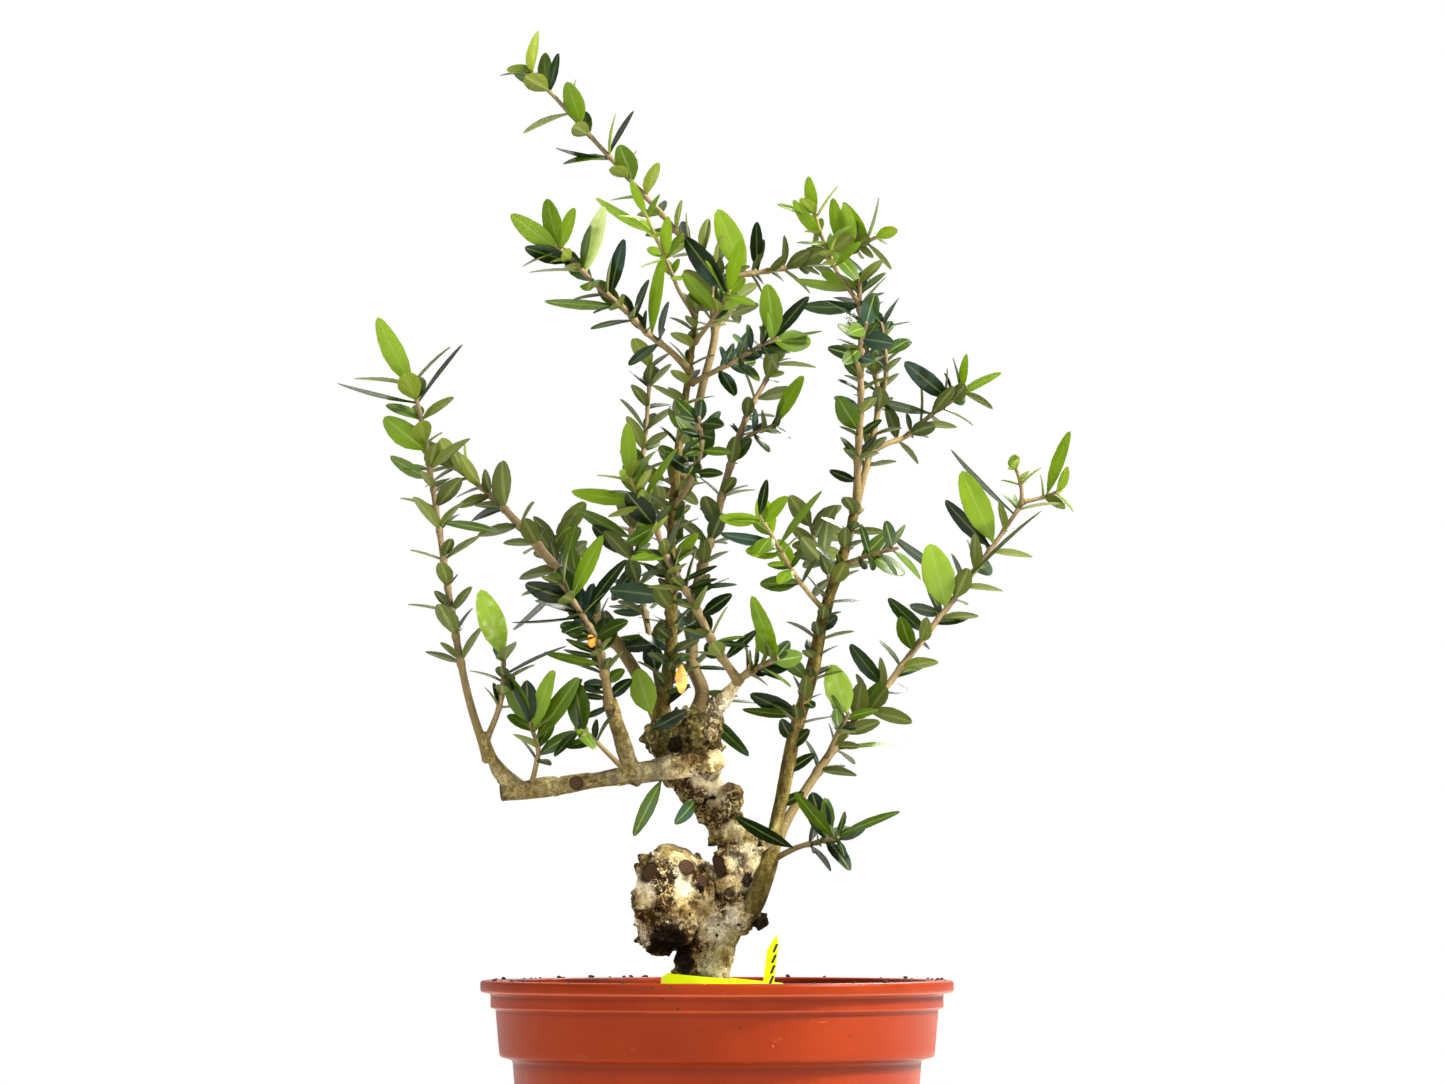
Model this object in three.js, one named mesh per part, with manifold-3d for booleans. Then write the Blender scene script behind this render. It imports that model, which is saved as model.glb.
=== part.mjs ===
// Potted olive tree: a small old olive in a round plastic pot.
// Millimetres, +Z up, the front of the plant is -Y.
// The origin is the centre of the pot's base, on the surface that the pot stands on.

import * as THREE from 'three';
import { mergeVertices } from 'three/addons/utils/BufferGeometryUtils.js';
import Module from 'manifold-3d';

const GAP = 0.3; // clearance kept between neighbouring pieces
const MERGE = 0.05; // details finer than this are smoothed away after a join

const POT = {
  height: 150,
  base: 73, // outer radius at the foot
  wall: 81.6, // outer radius where the wall meets the band
  band: [87, 88.4], // outer radius of the band, bottom and top
  collar: 90.4,
  rim: 94.5,
  thickness: 2.4,
  bandBottom: 119.5,
  collarBottom: 138,
  rimBottom: 144,
  mouth: 84.4, // inner radius at the top
  floor: 5.2, // height of the inside floor
  footInner: 66, // inner radius of the foot ring
  disc: 30, // radius of the flat centre disc that touches the ground
  channel: 2.5, // height of the raised ring between the disc and the foot
  facets: 32,
};
const DRAIN = { count: 8, radius: 4, ring: 48 };
const SOIL = { edge: 136.5, centre: 139.5 };
const LABEL = {
  strap: 8, // height of the strap
  thickness: 0.9,
  loop: [24, 17], // half sizes of the loop, seen from above
  centre: [2, -1, 143],
  slope: 0.09,
  tab: [20, -10.8, 143], // foot of the tab
  tabHeight: 25,
  tabWidth: 4.8,
  lean: 0.12,
};

const LIMB_STEP = 15; // target length of one ring of a limb
const LIMB_SIDES = 8;
const STEM_SIDES = 4;
const LAST_LEAF = 0.96; // no leaf stands nearer to the end of its stem than this
const LEAF = { thickness: 0.9, ratio: 0.36, splay: 0.95 };

const COLOURS = {
  pot: 0x9c3f1c,
  soil: 0x35261b,
  label: 0xd9ee1a,
  bark: 0xa38c64,
  leaf: 0x7c9440,
};

// Old wood. Each limb is a route of [x, y, z] points with one radius for each point.
const TRUNK = [
  {
    route: [[-5, 0, 96], [-5, 0, 140], [-4, 0, 163], [2, 0, 179], [8, 0, 191], [9, 0, 201], [5, 0, 210],
      [-1, 0, 220], [-9, 0, 230], [-14, 0, 241], [-16, 0, 252]],
    radii: [12.5, 11.6, 11.2, 10.6, 8.6, 7.6, 6.4, 7.8, 9, 10.4, 8.6],
  },
  { route: [[20, -3, 206], [11, -6, 201], [2, -9, 196]], radii: [3.6, 3.8, 4.4] },
  { route: [[8, -1, 180], [14, -3, 177], [19, -4, 172]], radii: [5, 4.2, 3.4] },
  {
    route: [[-1.5, -9, 232], [-1.5, -12, 246], [-1, -15, 257], [4, -18, 263], [9, -20, 270]],
    radii: [3.8, 3.3, 3.3, 2.7, 2.1],
  },
];
const LEFT_BOUGH = [
  {
    route: [[1, -17, 237.5], [-5, -17, 236.7], [-17, -16, 235], [-33, -15, 232], [-56, -15, 228.5],
      [-76, -15, 225.6], [-85, -15, 224.8]],
    radii: [3.4, 4.8, 4.9, 3.7, 3.6, 3.5, 3.3],
  },
  { route: [[-78, -15, 226], [-86, -15, 233], [-91, -15, 242], [-93, -15, 248]], radii: [3, 2.9, 2.5, 2] },
  { route: [[-34, -15, 233], [-37, -17, 243], [-40, -19, 252], [-43, -21, 262]], radii: [3, 2.9, 2.6, 2] },
];
// Lumps on the trunk: centre and half sizes.
const LUMPS = [
  { centre: [-20, -3, 182], half: [14, 13, 21.5] },
  { centre: [-13, -3, 186], half: [13.5, 11, 12.5] },
  { centre: [-22, -3, 169], half: [9, 10, 9] },
  { centre: [6, -4, 190], half: [8, 7.5, 9] },
  { centre: [8, -5, 177], half: [7, 7, 8.5] },
  { centre: [3, -6, 222], half: [6.5, 6, 7] },
  { centre: [-15, 0, 246], half: [10.5, 10, 10] },
];
const BOUGHS = {
  bough_right: {
    route: [[10, 2, 172], [17, 3, 184], [21.3, 4, 195], [23.5, 4, 210], [27, 4, 229], [31, 4, 248],
      [38, 4, 273], [43, 4, 297], [50, 5, 318], [56, 6, 340]],
    radii: [4.4, 3.6, 3, 2.9, 2.9, 2.8, 2.6, 2.3, 2.1, 1.9],
  },
  bough_centre: {
    route: [[-19, 0, 246], [-22, 0, 259], [-20, 0, 270], [-18, 0, 288], [-18.5, 0, 310], [-18, 0, 334],
      [-15, 0, 366], [-11, -1, 395], [-8, -2, 420]],
    radii: [3.6, 3, 2.6, 2.3, 2.1, 1.9, 1.6, 1.3, 1],
  },
};

// Leafy shoots. `pairs` counts the opposite leaf pairs from `from` (0 is the foot of the stem, 1 its
// tip), `size` is the leaf length at the foot and at the tip, `turn` is the first pair's angle round the
// stem. Each of `leaves` is a single leaf: where it leaves the stem, its tip, its width, and how far it
// faces the front (1 is face on, 0 is edge on).
const SHOOTS = {
  left_tall: {
    route: [[-91, -15, 238], [-98.5, -13, 261], [-104, -8, 286], [-108, -3, 309], [-112, 2, 335],
      [-115, 5, 353], [-119, 7, 376], [-123.5, 8, 392]],
    girth: [1.7, 0.8], pairs: 13, from: 0.2, size: [13, 21], turn: 0.2,
    leaves: [[1, [-137, 2, 415], 10, 0.9], [0.9, [-153, 4, 388], 6, 0.3],
      [0.9, [-103, 10, 406], 6, 0.3], [0.77, [-133, -4, 375], 10.5, 0.9],
      [0.7, [-132, 10, 359], 8, 0.6], [0.56, [-87, 0, 330], 7, 0.5]],
  },
  left_rear: {
    route: [[-20, 0, 248], [-33, 9, 274], [-45, 16, 291], [-61, 23, 311], [-77, 29, 330],
      [-89, 33, 343], [-98, 36, 351], [-109, 38, 359]],
    girth: [2.5, 0.9], pairs: 11, from: 0.2, size: [15, 19], turn: 1.0,
    leaves: [[0.43, [-81, 20, 289], 6, 0.3], [1, [-121, 30, 368], 8, 0.8], [0.1, [-33.5, -14, 273], 11, 1]],
  },
  left_front: {
    route: [[-42.5, -21, 259], [-44.5, -24, 271], [-47, -29, 283], [-51, -34, 291], [-56, -39, 299],
      [-63, -43, 309]],
    girth: [2, 0.8], pairs: 7, from: 0.15, size: [13, 19], turn: 0.4, leaves: [],
  },
  bough_end: {
    route: [[-92, -15, 245], [-87, -20, 257], [-85, -24, 266], [-84.5, -27, 280]],
    girth: [1.3, 0.8], pairs: 4, from: 0.3, size: [12, 17], turn: 0,
    leaves: [[1, [-93, -32, 305], 10.4, 1], [0.8, [-60, -30, 284], 6, 0.3]],
  },
  bough_knot: {
    route: [[-74, -16, 227], [-72, -20, 235], [-71, -23, 242], [-74, -27, 252]],
    girth: [1.2, 0.7], pairs: 3, from: 0.35, size: [11, 16], turn: 0.8,
    leaves: [[1, [-84, -30, 270], 7, 0.7], [0.8, [-55, -30, 271], 7, 0.7],
      [0.9, [-66, -38, 273], 7, 0.9], [1, [-75, -24, 269], 7.6, 1]],
  },
  bough_twig: {
    route: [[-37, -16, 234], [-45, -24, 242], [-50, -29, 247], [-56, -33, 250]],
    girth: [1.1, 0.7], pairs: 3, from: 0.4, size: [11, 15], turn: 0.3, leaves: [],
  },
  leader: {
    route: [[-15, 2, 352], [-10, 10, 368], [-6, 15, 388], [-1, 20, 409], [-2, 23, 426], [1, 26, 436],
      [-6, 28, 444], [-14, 29, 450], [-23, 30, 460], [-33, 30, 471], [-44, 29, 483], [-56, 27, 496],
      [-68, 25, 509], [-78, 23, 519]],
    girth: [1.8, 0.7], pairs: 15, from: 0.22, size: [14, 18], turn: 0.5,
    leaves: [[0.84, [-60, 18, 512], 8, 1], [0.7, [-39, 24, 487], 8.8, 1],
      [0.76, [-66, 32, 485], 6, 0.3], [0.77, [-34, 32, 502], 6, 0.4], [0.92, [-64, 22, 524], 6, 0.6],
      [0.94, [-82, 20, 515], 5, 0.6]],
  },
  pale_thin: {
    route: [[-9, -2, 416], [-15, -8, 425], [-18.5, -14, 433], [-24, -20, 445], [-29, -25, 456]],
    girth: [0.9, 0.6], pairs: 4, from: 0.35, size: [11, 13], turn: 1.2,
    leaves: [[0.6, [-20, -22, 454], 6, 0.8], [0.8, [-49, -24, 460], 6, 0.6], [1, [-34, -28, 468], 5, 0.7]],
  },
  centre_top: {
    route: [[-9, -3, 405], [-4, -8, 411], [0, -12, 416], [5, -17, 425]],
    girth: [1, 0.7], pairs: 3, from: 0.4, size: [12, 15], turn: 0.2,
    leaves: [[0.7, [-14, -20, 431], 7, 0.8], [1, [-13.5, -14, 446], 9, 0.9], [1, [10, -24, 445], 7, 0.8]],
  },
  upper_left: {
    route: [[-11, -1, 394], [-18.5, -9, 401], [-28, -17, 408], [-37, -24, 417], [-48, -31, 426],
      [-56, -36, 434], [-64, -40, 441]],
    girth: [1.4, 0.8], pairs: 9, from: 0.2, size: [14, 19], turn: 0.1,
    leaves: [[1, [-82, -44, 452], 8.8, 0.9], [1, [-68, -36, 460], 8, 0.9],
      [0.85, [-76, -40, 440], 8, 0.7], [0.75, [-46, -38, 457], 7.5, 0.9],
      [0.58, [-37.5, -20, 446], 6.5, 0.9], [0.52, [-69, -22, 420], 7, 0.5], [0.3, [-23, -20, 439], 7, 0.7]],
  },
  upper_right: {
    route: [[-10, -1, 389], [-1, -9, 393], [6, -17, 396], [15, -25, 401], [24, -31, 405]],
    girth: [1.2, 0.7], pairs: 6, from: 0.25, size: [13, 17], turn: 0.6,
    leaves: [[1, [21, -36, 426], 9, 1], [1, [36, -30, 422], 8, 0.7], [0.8, [42, -24, 409], 6, 0.3]],
  },
  top_right: {
    route: [[0, 25, 433], [12, 29, 435], [23, 33, 437], [32, 36, 439], [41, 39, 442], [51, 42, 446],
      [60, 44, 449], [66, 46, 452]],
    girth: [1.2, 0.7], pairs: 10, from: 0.12, size: [13, 17], turn: 0,
    leaves: [[0.14, [-1, 22, 460], 10.4, 1], [0.2, [16, 34, 457], 7, 0.7],
      [0.72, [47, 34, 466], 6.4, 0.9], [0.9, [50, 48, 465], 7, 0.8], [0.78, [52, 34, 464], 6, 0.9]],
  },
  right_left: {
    route: [[56, 6, 338], [56.5, 4, 359], [57.5, 0, 378], [57.5, -4, 396], [57.5, -7, 410],
      [57, -9, 421], [57, -10, 430]],
    girth: [1.6, 0.8], pairs: 11, from: 0.12, size: [12, 17], turn: 0.9,
    leaves: [[0.92, [31, -12, 429], 7, 0.5], [0.95, [41, -4, 432], 7, 0.7], [0.8, [34, -8, 419], 8, 0.6]],
  },
  right_left_side: {
    route: [[57, -9, 420], [49, -12, 431], [45.5, -14, 438], [42, -16, 446], [38.5, -18, 457]],
    girth: [0.9, 0.6], pairs: 5, from: 0.3, size: [12, 14], turn: 0.3,
    leaves: [[0.75, [29.5, -22, 460], 6, 0.8], [1, [36, -22, 470], 6, 0.8]],
  },
  right_right: {
    route: [[55, 6, 337], [59.5, 12, 354], [62, 16, 364], [65, 20, 381], [64, 22, 393], [60.5, 24, 404],
      [62, 25, 414]],
    girth: [1.5, 0.8], pairs: 9, from: 0.15, size: [13, 16], turn: 0.2, leaves: [],
  },
  right_fork: {
    route: [[65, 20, 380], [68, 17, 392], [67.5, 14, 405], [66, 12, 414]],
    girth: [1, 0.7], pairs: 4, from: 0.3, size: [12, 15], turn: 1.1, leaves: [],
  },
  right_level: {
    route: [[61, 15, 362], [69, 22, 366], [76, 28, 369], [83, 32, 375], [89, 35, 380], [95, 37, 384],
      [101, 38, 390]],
    girth: [1.2, 0.7], pairs: 7, from: 0.2, size: [13, 16], turn: 0,
    leaves: [[0.84, [75.5, 30, 399], 8, 0.9], [0.86, [115, 40, 397], 6.5, 0.5],
      [0.95, [101, 34, 403], 5, 0.7], [0.62, [60.5, 28, 384], 7, 0.5]],
  },
  right_long: {
    route: [[24, 6, 206], [31, 14, 219], [45, 24, 240], [54, 31, 252], [64, 37, 262], [79, 44, 282],
      [94, 49, 301], [102, 52, 312], [114, 55, 328], [125.5, 57, 345]],
    girth: [2, 0.8], pairs: 15, from: 0.16, size: [14, 20], turn: 0.4,
    leaves: [[0.88, [99, 50, 356], 11, 1], [0.87, [92, 60, 344], 8, 0.7], [0.66, [87, 40, 326], 13, 1],
      [0.65, [78, 56, 301], 7, 0.6], [0.98, [94, 52, 364], 6, 0.3], [0.78, [130, 44, 342], 6, 0.3],
      [0.76, [70, 48, 328], 8, 0.4], [0.6, [69, 36, 303], 8, 0.7], [0.62, [103, 52, 297], 7, 0.6],
      [0.56, [73.5, 34, 296], 7, 0.9], [0.48, [53.5, 36, 285], 8, 0.7], [0.5, [88, 50, 280], 7, 0.6],
      [0.36, [65.5, 24, 270], 7, 0.7], [0.24, [77.5, 34, 247], 6, 0.3]],
  },
  right_long_bud: {
    route: [[124, 56, 343], [124, 54, 350], [121, 52, 360]],
    girth: [0.9, 0.6], pairs: 2, from: 0.4, size: [9, 10], turn: 0, leaves: [],
  },
  right_long_tip: {
    route: [[125, 57, 344], [133, 60, 346], [141, 62, 349]],
    girth: [0.9, 0.6], pairs: 2, from: 0.35, size: [12, 12], turn: 0.7,
    leaves: [[0.6, [143.5, 56, 373], 6.5, 0.7]],
  },
  right_inner: {
    route: [[44, 23, 239], [48, 17, 248], [53, 12, 257]],
    girth: [1, 0.7], pairs: 2, from: 0.4, size: [12, 15], turn: 0.9,
    leaves: [[1, [45, 6, 276], 11, 1]],
  },
  right_low: {
    route: [[22, 0, 198], [32, -11, 203], [40, -19, 205], [48, -26, 207]],
    girth: [1.3, 0.8], pairs: 4, from: 0.45, size: [12, 16], turn: 0.1,
    leaves: [[1, [30, -32, 224], 7, 0.7], [1, [72, -30, 218], 7, 0.5], [0.8, [38, -24, 225], 9, 1],
      [0.3, [7, -18, 214], 7, 0.7]],
  },
  middle_right: {
    route: [[8, -19, 269], [12, -22, 272], [16, -24, 274], [24, -28, 278]],
    girth: [1.7, 0.9], pairs: 4, from: 0.25, size: [13, 17], turn: 0.5, leaves: [],
  },
  middle_front: {
    route: [[8.5, -20, 269], [5, -22, 274], [-1, -24, 283], [-8.4, -26, 298], [-15, -28, 309],
      [-20, -30, 318], [-26, -32, 334], [-31, -33, 342], [-35, -34, 351]],
    girth: [1.9, 0.8], pairs: 10, from: 0.15, size: [14, 18], turn: 1.3,
    leaves: [[0.85, [-58, -30, 343], 8, 0.7], [0.84, [-16, -38, 361], 6, 0.5],
      [1, [-36, -36, 371], 7, 0.9], [0.72, [-36, -40, 323], 8, 0.6]],
  },
  rear_long: {
    route: [[-13, 6, 248], [-6, 12, 264], [-10, 18, 278], [-9, 26, 302], [-5, 34, 320], [-1, 40, 333],
      [3, 46, 350], [9, 52, 370], [13, 55, 381], [20, 59, 394], [24, 61, 403]],
    girth: [2.2, 0.8], pairs: 13, from: 0.15, size: [14, 17], turn: 0.2,
    leaves: [[0.06, [-25, 6, 251], 7, 0.7]],
  },
  rear_side: {
    route: [[9, 51, 368], [16, 48, 372], [24, 45, 375]],
    girth: [0.9, 0.6], pairs: 3, from: 0.3, size: [12, 13], turn: 0.4,
    leaves: [[1, [34.5, 42, 395], 7, 0.8]],
  },
  rear_left: {
    route: [[-22, 3, 258], [-25, 14, 276], [-30, 26, 302], [-35, 36, 324], [-32, 44, 350],
      [-29.5, 48, 368], [-28, 51, 386], [-27, 53, 402]],
    girth: [1.4, 0.7], pairs: 12, from: 0.15, size: [14, 17], turn: 0.7,
    leaves: [[0.12, [-27, 10, 286], 8, 1], [0.38, [-42, 20, 303], 9, 0.6]],
  },
  front_right: {
    route: [[43, 3, 298], [37, -8, 304], [30, -20, 313], [23, -32, 324], [17, -42, 334]],
    girth: [1.1, 0.7], pairs: 5, from: 0.3, size: [14, 17], turn: 0.3,
    leaves: [[1, [1, -46, 332], 7, 0.7], [0.75, [1, -30, 326], 8, 0.6], [0.7, [41, -30, 345], 7, 0.5]],
  },
  right_short: {
    route: [[49, 4, 316], [56, -4, 318], [63, -12, 320], [72, -19, 322]],
    girth: [1.1, 0.7], pairs: 4, from: 0.3, size: [13, 16], turn: 0.9, leaves: [],
  },
  back_centre: {
    route: [[-18, 2, 322], [-19, 16, 330], [-22, 32, 338], [-20, 50, 346], [-16, 66, 352]],
    girth: [1.2, 0.7], pairs: 6, from: 0.35, size: [13, 17], turn: 0.4, leaves: [],
  },
  back_right: {
    route: [[44, 6, 300], [46, 18, 308], [44, 32, 317], [40, 48, 326], [38, 62, 336]],
    girth: [1.2, 0.7], pairs: 6, from: 0.3, size: [13, 17], turn: 1.0, leaves: [],
  },
  front_centre: {
    route: [[-17, -2, 340], [-12, -14, 346], [-8, -28, 354], [-6, -42, 362], [-7, -54, 372]],
    girth: [1.1, 0.7], pairs: 5, from: 0.35, size: [13, 16], turn: 0.6, leaves: [],
  },
  back_top: {
    route: [[-1, 22, 412], [4, 36, 418], [6, 50, 424], [4, 64, 432]],
    girth: [1, 0.7], pairs: 4, from: 0.35, size: [12, 15], turn: 0.2, leaves: [],
  },
  back_left: {
    route: [[-60, 24, 310], [-64, 38, 316], [-66, 52, 323], [-64, 66, 332]],
    girth: [1.1, 0.7], pairs: 5, from: 0.35, size: [13, 16], turn: 0.8, leaves: [],
  },
  front_right_high: {
    route: [[57.5, -5, 392], [56, -18, 396], [57, -32, 402], [59, -44, 410]],
    girth: [1, 0.7], pairs: 4, from: 0.35, size: [12, 15], turn: 0.5, leaves: [],
  },
};

const wasm = await Module();
wasm.setup();

const tree = new THREE.Group();
tree.name = 'potted_olive_tree';

/** A closed geometry as a manifold solid. */
function solid(geometry) {
  const bare = geometry.index ? geometry.toNonIndexed() : geometry.clone();
  bare.deleteAttribute('normal');
  bare.deleteAttribute('uv');
  const merged = mergeVertices(bare, 1e-4);
  const corners = merged.index.array;
  const kept = [];
  for (let i = 0; i < corners.length; i += 3) {
    const [a, b, c] = [corners[i], corners[i + 1], corners[i + 2]];
    if (a !== b && b !== c && c !== a) kept.push(a, b, c);
  }
  return new wasm.Manifold(new wasm.Mesh({
    numProp: 3,
    vertProperties: new Float32Array(merged.attributes.position.array),
    triVerts: new Uint32Array(kept),
  }));
}

/** Adds a solid to the tree as a named mesh. */
function add(name, body, colour, roughness) {
  const { vertProperties, triVerts } = body.getMesh();
  const geometry = new THREE.BufferGeometry();
  geometry.setAttribute('position', new THREE.BufferAttribute(vertProperties, 3));
  geometry.setIndex(new THREE.BufferAttribute(triVerts, 1));
  const flat = geometry.toNonIndexed();
  flat.computeVertexNormals();
  const finish = new THREE.MeshStandardMaterial({ color: colour, roughness, metalness: 0 });
  const mesh = new THREE.Mesh(flat, finish);
  mesh.name = name;
  tree.add(mesh);
}

/** The biggest body left after a cut. */
function largest(body) {
  return body.decompose().reduce((a, b) => (b.volume() > a.volume() ? b : a));
}

/** Whether the boxes round two solids meet. */
function near(a, b) {
  const [p, q] = [a.boundingBox(), b.boundingBox()];
  return [0, 1, 2].every((k) => p.min[k] <= q.max[k] && q.min[k] <= p.max[k]);
}

/** A body cut clear of every neighbour it might touch. */
function clear(body, neighbours) {
  const touching = neighbours.filter((other) => near(body, other));
  return touching.length ? largest(wasm.Manifold.difference([body, ...touching])) : body;
}

/** The smooth curve through a route. */
function curve(route) {
  return new THREE.CatmullRomCurve3(route.map((p) => new THREE.Vector3(...p)), false, 'catmullrom', 0.5);
}

/** The axis that a route runs across: depth, or height for one that runs towards the front or the back. */
function across(route) {
  const run = new THREE.Vector3(...route.at(-1)).sub(new THREE.Vector3(...route[0])).normalize();
  return Math.abs(run.y) > 0.75 ? new THREE.Vector3(0, 0, 1) : new THREE.Vector3(0, 1, 0);
}

/** Point, tangent, sideways and depth directions of a curve at t. */
function frameAt(path, reference, t) {
  const along = path.getTangent(t);
  const side = new THREE.Vector3().crossVectors(along, reference).normalize();
  const depth = new THREE.Vector3().crossVectors(side, along).normalize();
  return { point: path.getPoint(t), along, side, depth };
}

/** Value of an evenly spaced list at t, with straight stretches between its entries. */
function blend(list, t) {
  const place = Math.min(Math.max(t, 0), 1) * (list.length - 1);
  const low = Math.min(Math.floor(place), list.length - 2);
  return THREE.MathUtils.lerp(list[low], list[low + 1], place - low);
}

/** A tapering limb: a capped cylinder bent along a route, with its radius blended from a list. */
function limb({ route, radii }, sides, grow = 0) {
  const path = curve(route);
  const reference = across(route);
  const steps = Math.max(route.length - 1, Math.round(path.getLength() / LIMB_STEP));
  const tube = new THREE.CylinderGeometry(1, 1, 1, sides, steps);
  const at = tube.attributes.position;
  for (let i = 0; i < at.count; i += 1) {
    const t = at.getY(i) + 0.5;
    const { point, side, depth } = frameAt(path, reference, t);
    const radius = blend(radii, t) + grow;
    point.addScaledVector(side, radius * at.getX(i)).addScaledVector(depth, radius * at.getZ(i));
    at.setXYZ(i, point.x, point.y, point.z);
  }
  return solid(tube);
}

/** A rounded lump: a sphere scaled to its half sizes. */
function lump({ centre, half }, grow = 0) {
  const ball = new THREE.SphereGeometry(1, 12, 7);
  ball.scale(...half.map((h) => h + grow)).translate(...centre);
  return solid(ball);
}

/** A repeatable number from 0 to 1 for each whole n. */
function scatter(n) {
  const value = Math.sin(n * 12.9898) * 43758.5453;
  return value - Math.floor(value);
}

/** A leaf: a pointed lens of four sides from `foot` along `along`, with its upper face turned to `up`. */
function leaf({ foot, along, up, length, width }, grow = 0) {
  const lens = new THREE.SphereGeometry(1, 4, 2);
  lens.scale(length / 2 + grow, LEAF.thickness / 2 + grow, width / 2 + grow).translate(length / 2, 0, 0);
  const cross = new THREE.Vector3().crossVectors(along, up);
  lens.applyMatrix4(new THREE.Matrix4().makeBasis(along, up, cross).setPosition(foot));
  return solid(lens);
}

/** The part of `vector` square to `axis`, as a unit vector. */
function square(vector, axis) {
  return vector.clone().addScaledVector(axis, -vector.dot(axis)).normalize();
}

/** Every leaf of a shoot: opposite pairs, each a quarter turn on from the last, then the single leaves. */
function leavesOf({ route, pairs, from, size, turn, leaves }, seed) {
  const path = curve(route);
  const reference = across(route);
  const list = [];
  for (let i = 0; i < pairs; i += 1) {
    const t = from + ((1 - from) * (i + 0.5)) / pairs;
    const { point, along, side, depth } = frameAt(path, reference, t);
    for (let half = 0; half < 2; half += 1) {
      const n = seed * 100 + i * 2 + half;
      const angle = turn + (i % 2) * (Math.PI / 2) + half * Math.PI + (scatter(n) - 0.5) * 0.7;
      const splay = LEAF.splay + (scatter(n + 0.3) - 0.5) * 0.5;
      const out = side.clone().multiplyScalar(Math.cos(angle)).addScaledVector(depth, Math.sin(angle));
      const way = along.clone().multiplyScalar(Math.cos(splay)).addScaledVector(out, Math.sin(splay));
      way.normalize();
      const length = THREE.MathUtils.lerp(size[0], size[1], t) * (0.8 + 0.4 * scatter(n + 0.6));
      list.push({ foot: point, along: way, up: square(along, way), length, width: length * LEAF.ratio });
    }
  }
  for (const [t, tip, width, facing] of leaves) {
    const { point } = frameAt(path, reference, Math.min(t, LAST_LEAF));
    const way = new THREE.Vector3(...tip).sub(point);
    const length = way.length();
    way.normalize();
    const front = square(new THREE.Vector3(0, -1, 0), way);
    const edge = new THREE.Vector3().crossVectors(front, way);
    const up = front.multiplyScalar(facing).addScaledVector(edge, Math.sqrt(1 - facing * facing)).normalize();
    list.push({ foot: point, along: way, up, length, width });
  }
  return list;
}

/** A body turned about the vertical axis from an outline of [radius, height] points. */
function turned(outline, facets) {
  const profile = outline.map(([r, z]) => new THREE.Vector2(r, z));
  return solid(new THREE.LatheGeometry(profile, facets).rotateX(Math.PI / 2));
}

/** The pot: out under the base, up the outside, over the rim, down inside, with its drainage holes. */
function pot() {
  const shell = turned([
    [0, 0], [POT.disc, 0], [POT.disc + 2, POT.channel], [POT.footInner, POT.channel], [POT.footInner + 2, 0],
    [POT.base - 1, 0], [POT.base, 1.2], [POT.wall, POT.bandBottom - 3],
      [POT.band[0] - 0.8, POT.bandBottom - 1.5],
    [POT.band[0], POT.bandBottom + 1], [POT.band[1], POT.collarBottom], [POT.collar, POT.collarBottom + 0.6],
    [POT.collar, POT.rimBottom], [POT.rim - 1, POT.rimBottom + 0.3], [POT.rim, POT.rimBottom + 2],
    [POT.rim, POT.height - 2], [POT.rim - 1.8, POT.height], [POT.mouth + 1.5, POT.height],
    [POT.mouth, POT.height - 2], [POT.band[0] - POT.thickness - 0.6, POT.bandBottom + 2],
    [POT.wall - POT.thickness, POT.bandBottom - 6], [POT.base - POT.thickness, POT.floor + 1],
    [POT.base - POT.thickness - 2, POT.floor], [0, POT.floor],
  ], POT.facets);
  const holes = Array.from({ length: DRAIN.count }, (_, i) => {
    const angle = (i / DRAIN.count) * 2 * Math.PI;
    const hole = new THREE.CylinderGeometry(DRAIN.radius, DRAIN.radius, 2 * POT.floor, 8);
    hole.rotateX(Math.PI / 2);
    return solid(hole.translate(DRAIN.ring * Math.cos(angle), DRAIN.ring * Math.sin(angle), POT.floor));
  });
  return wasm.Manifold.difference([shell, ...holes]);
}

/** The soil: it fills the pot to below the rim, mounds up to the trunk, and leaves a socket for its foot. */
function soil(wood) {
  const wall = POT.thickness + GAP;
  const body = turned([
    [0, POT.floor + GAP], [POT.base - wall - 2, POT.floor + GAP], [POT.base - wall, POT.floor + 1 + GAP],
    [POT.wall - wall, POT.bandBottom - 6], [POT.band[0] - wall - 0.6, POT.bandBottom + 2],
    [POT.band[0] - wall - 0.6, SOIL.edge], [45, SOIL.edge + 1], [22, SOIL.centre], [0, SOIL.centre],
  ], POT.facets);
  return clear(body, wood);
}

/** The label: a strap looped round the foot of the trunk, sloping down to the right, with a pointed tab. */
function label() {
  const { strap, thickness, tabHeight, tabWidth } = LABEL;
  const loop = new THREE.Shape().absellipse(0, 0, LABEL.loop[0], LABEL.loop[1], 0, 2 * Math.PI);
  loop.holes.push(new THREE.Path().absellipse(0, 0, LABEL.loop[0] - thickness, LABEL.loop[1] - thickness, 0,
    2 * Math.PI));
  const band = new THREE.ExtrudeGeometry(loop, { depth: strap, bevelEnabled: false, curveSegments: 14 });
  band.rotateY(LABEL.slope).translate(LABEL.centre[0], LABEL.centre[1], LABEL.centre[2]);
  const outline = new THREE.Shape();
  outline.moveTo(-tabWidth / 2, 0);
  outline.lineTo(tabWidth / 2, 0);
  outline.lineTo(tabWidth / 2, tabHeight * 0.8);
  outline.lineTo(tabWidth * 0.28, tabHeight);
  outline.lineTo(-tabWidth / 2, tabHeight * 0.72);
  const tab = new THREE.ExtrudeGeometry(outline, { depth: 2 * thickness, bevelEnabled: false });
  tab.rotateX(Math.PI / 2).rotateY(LABEL.lean).translate(...LABEL.tab);
  return solid(band).add(solid(tab));
}

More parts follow.
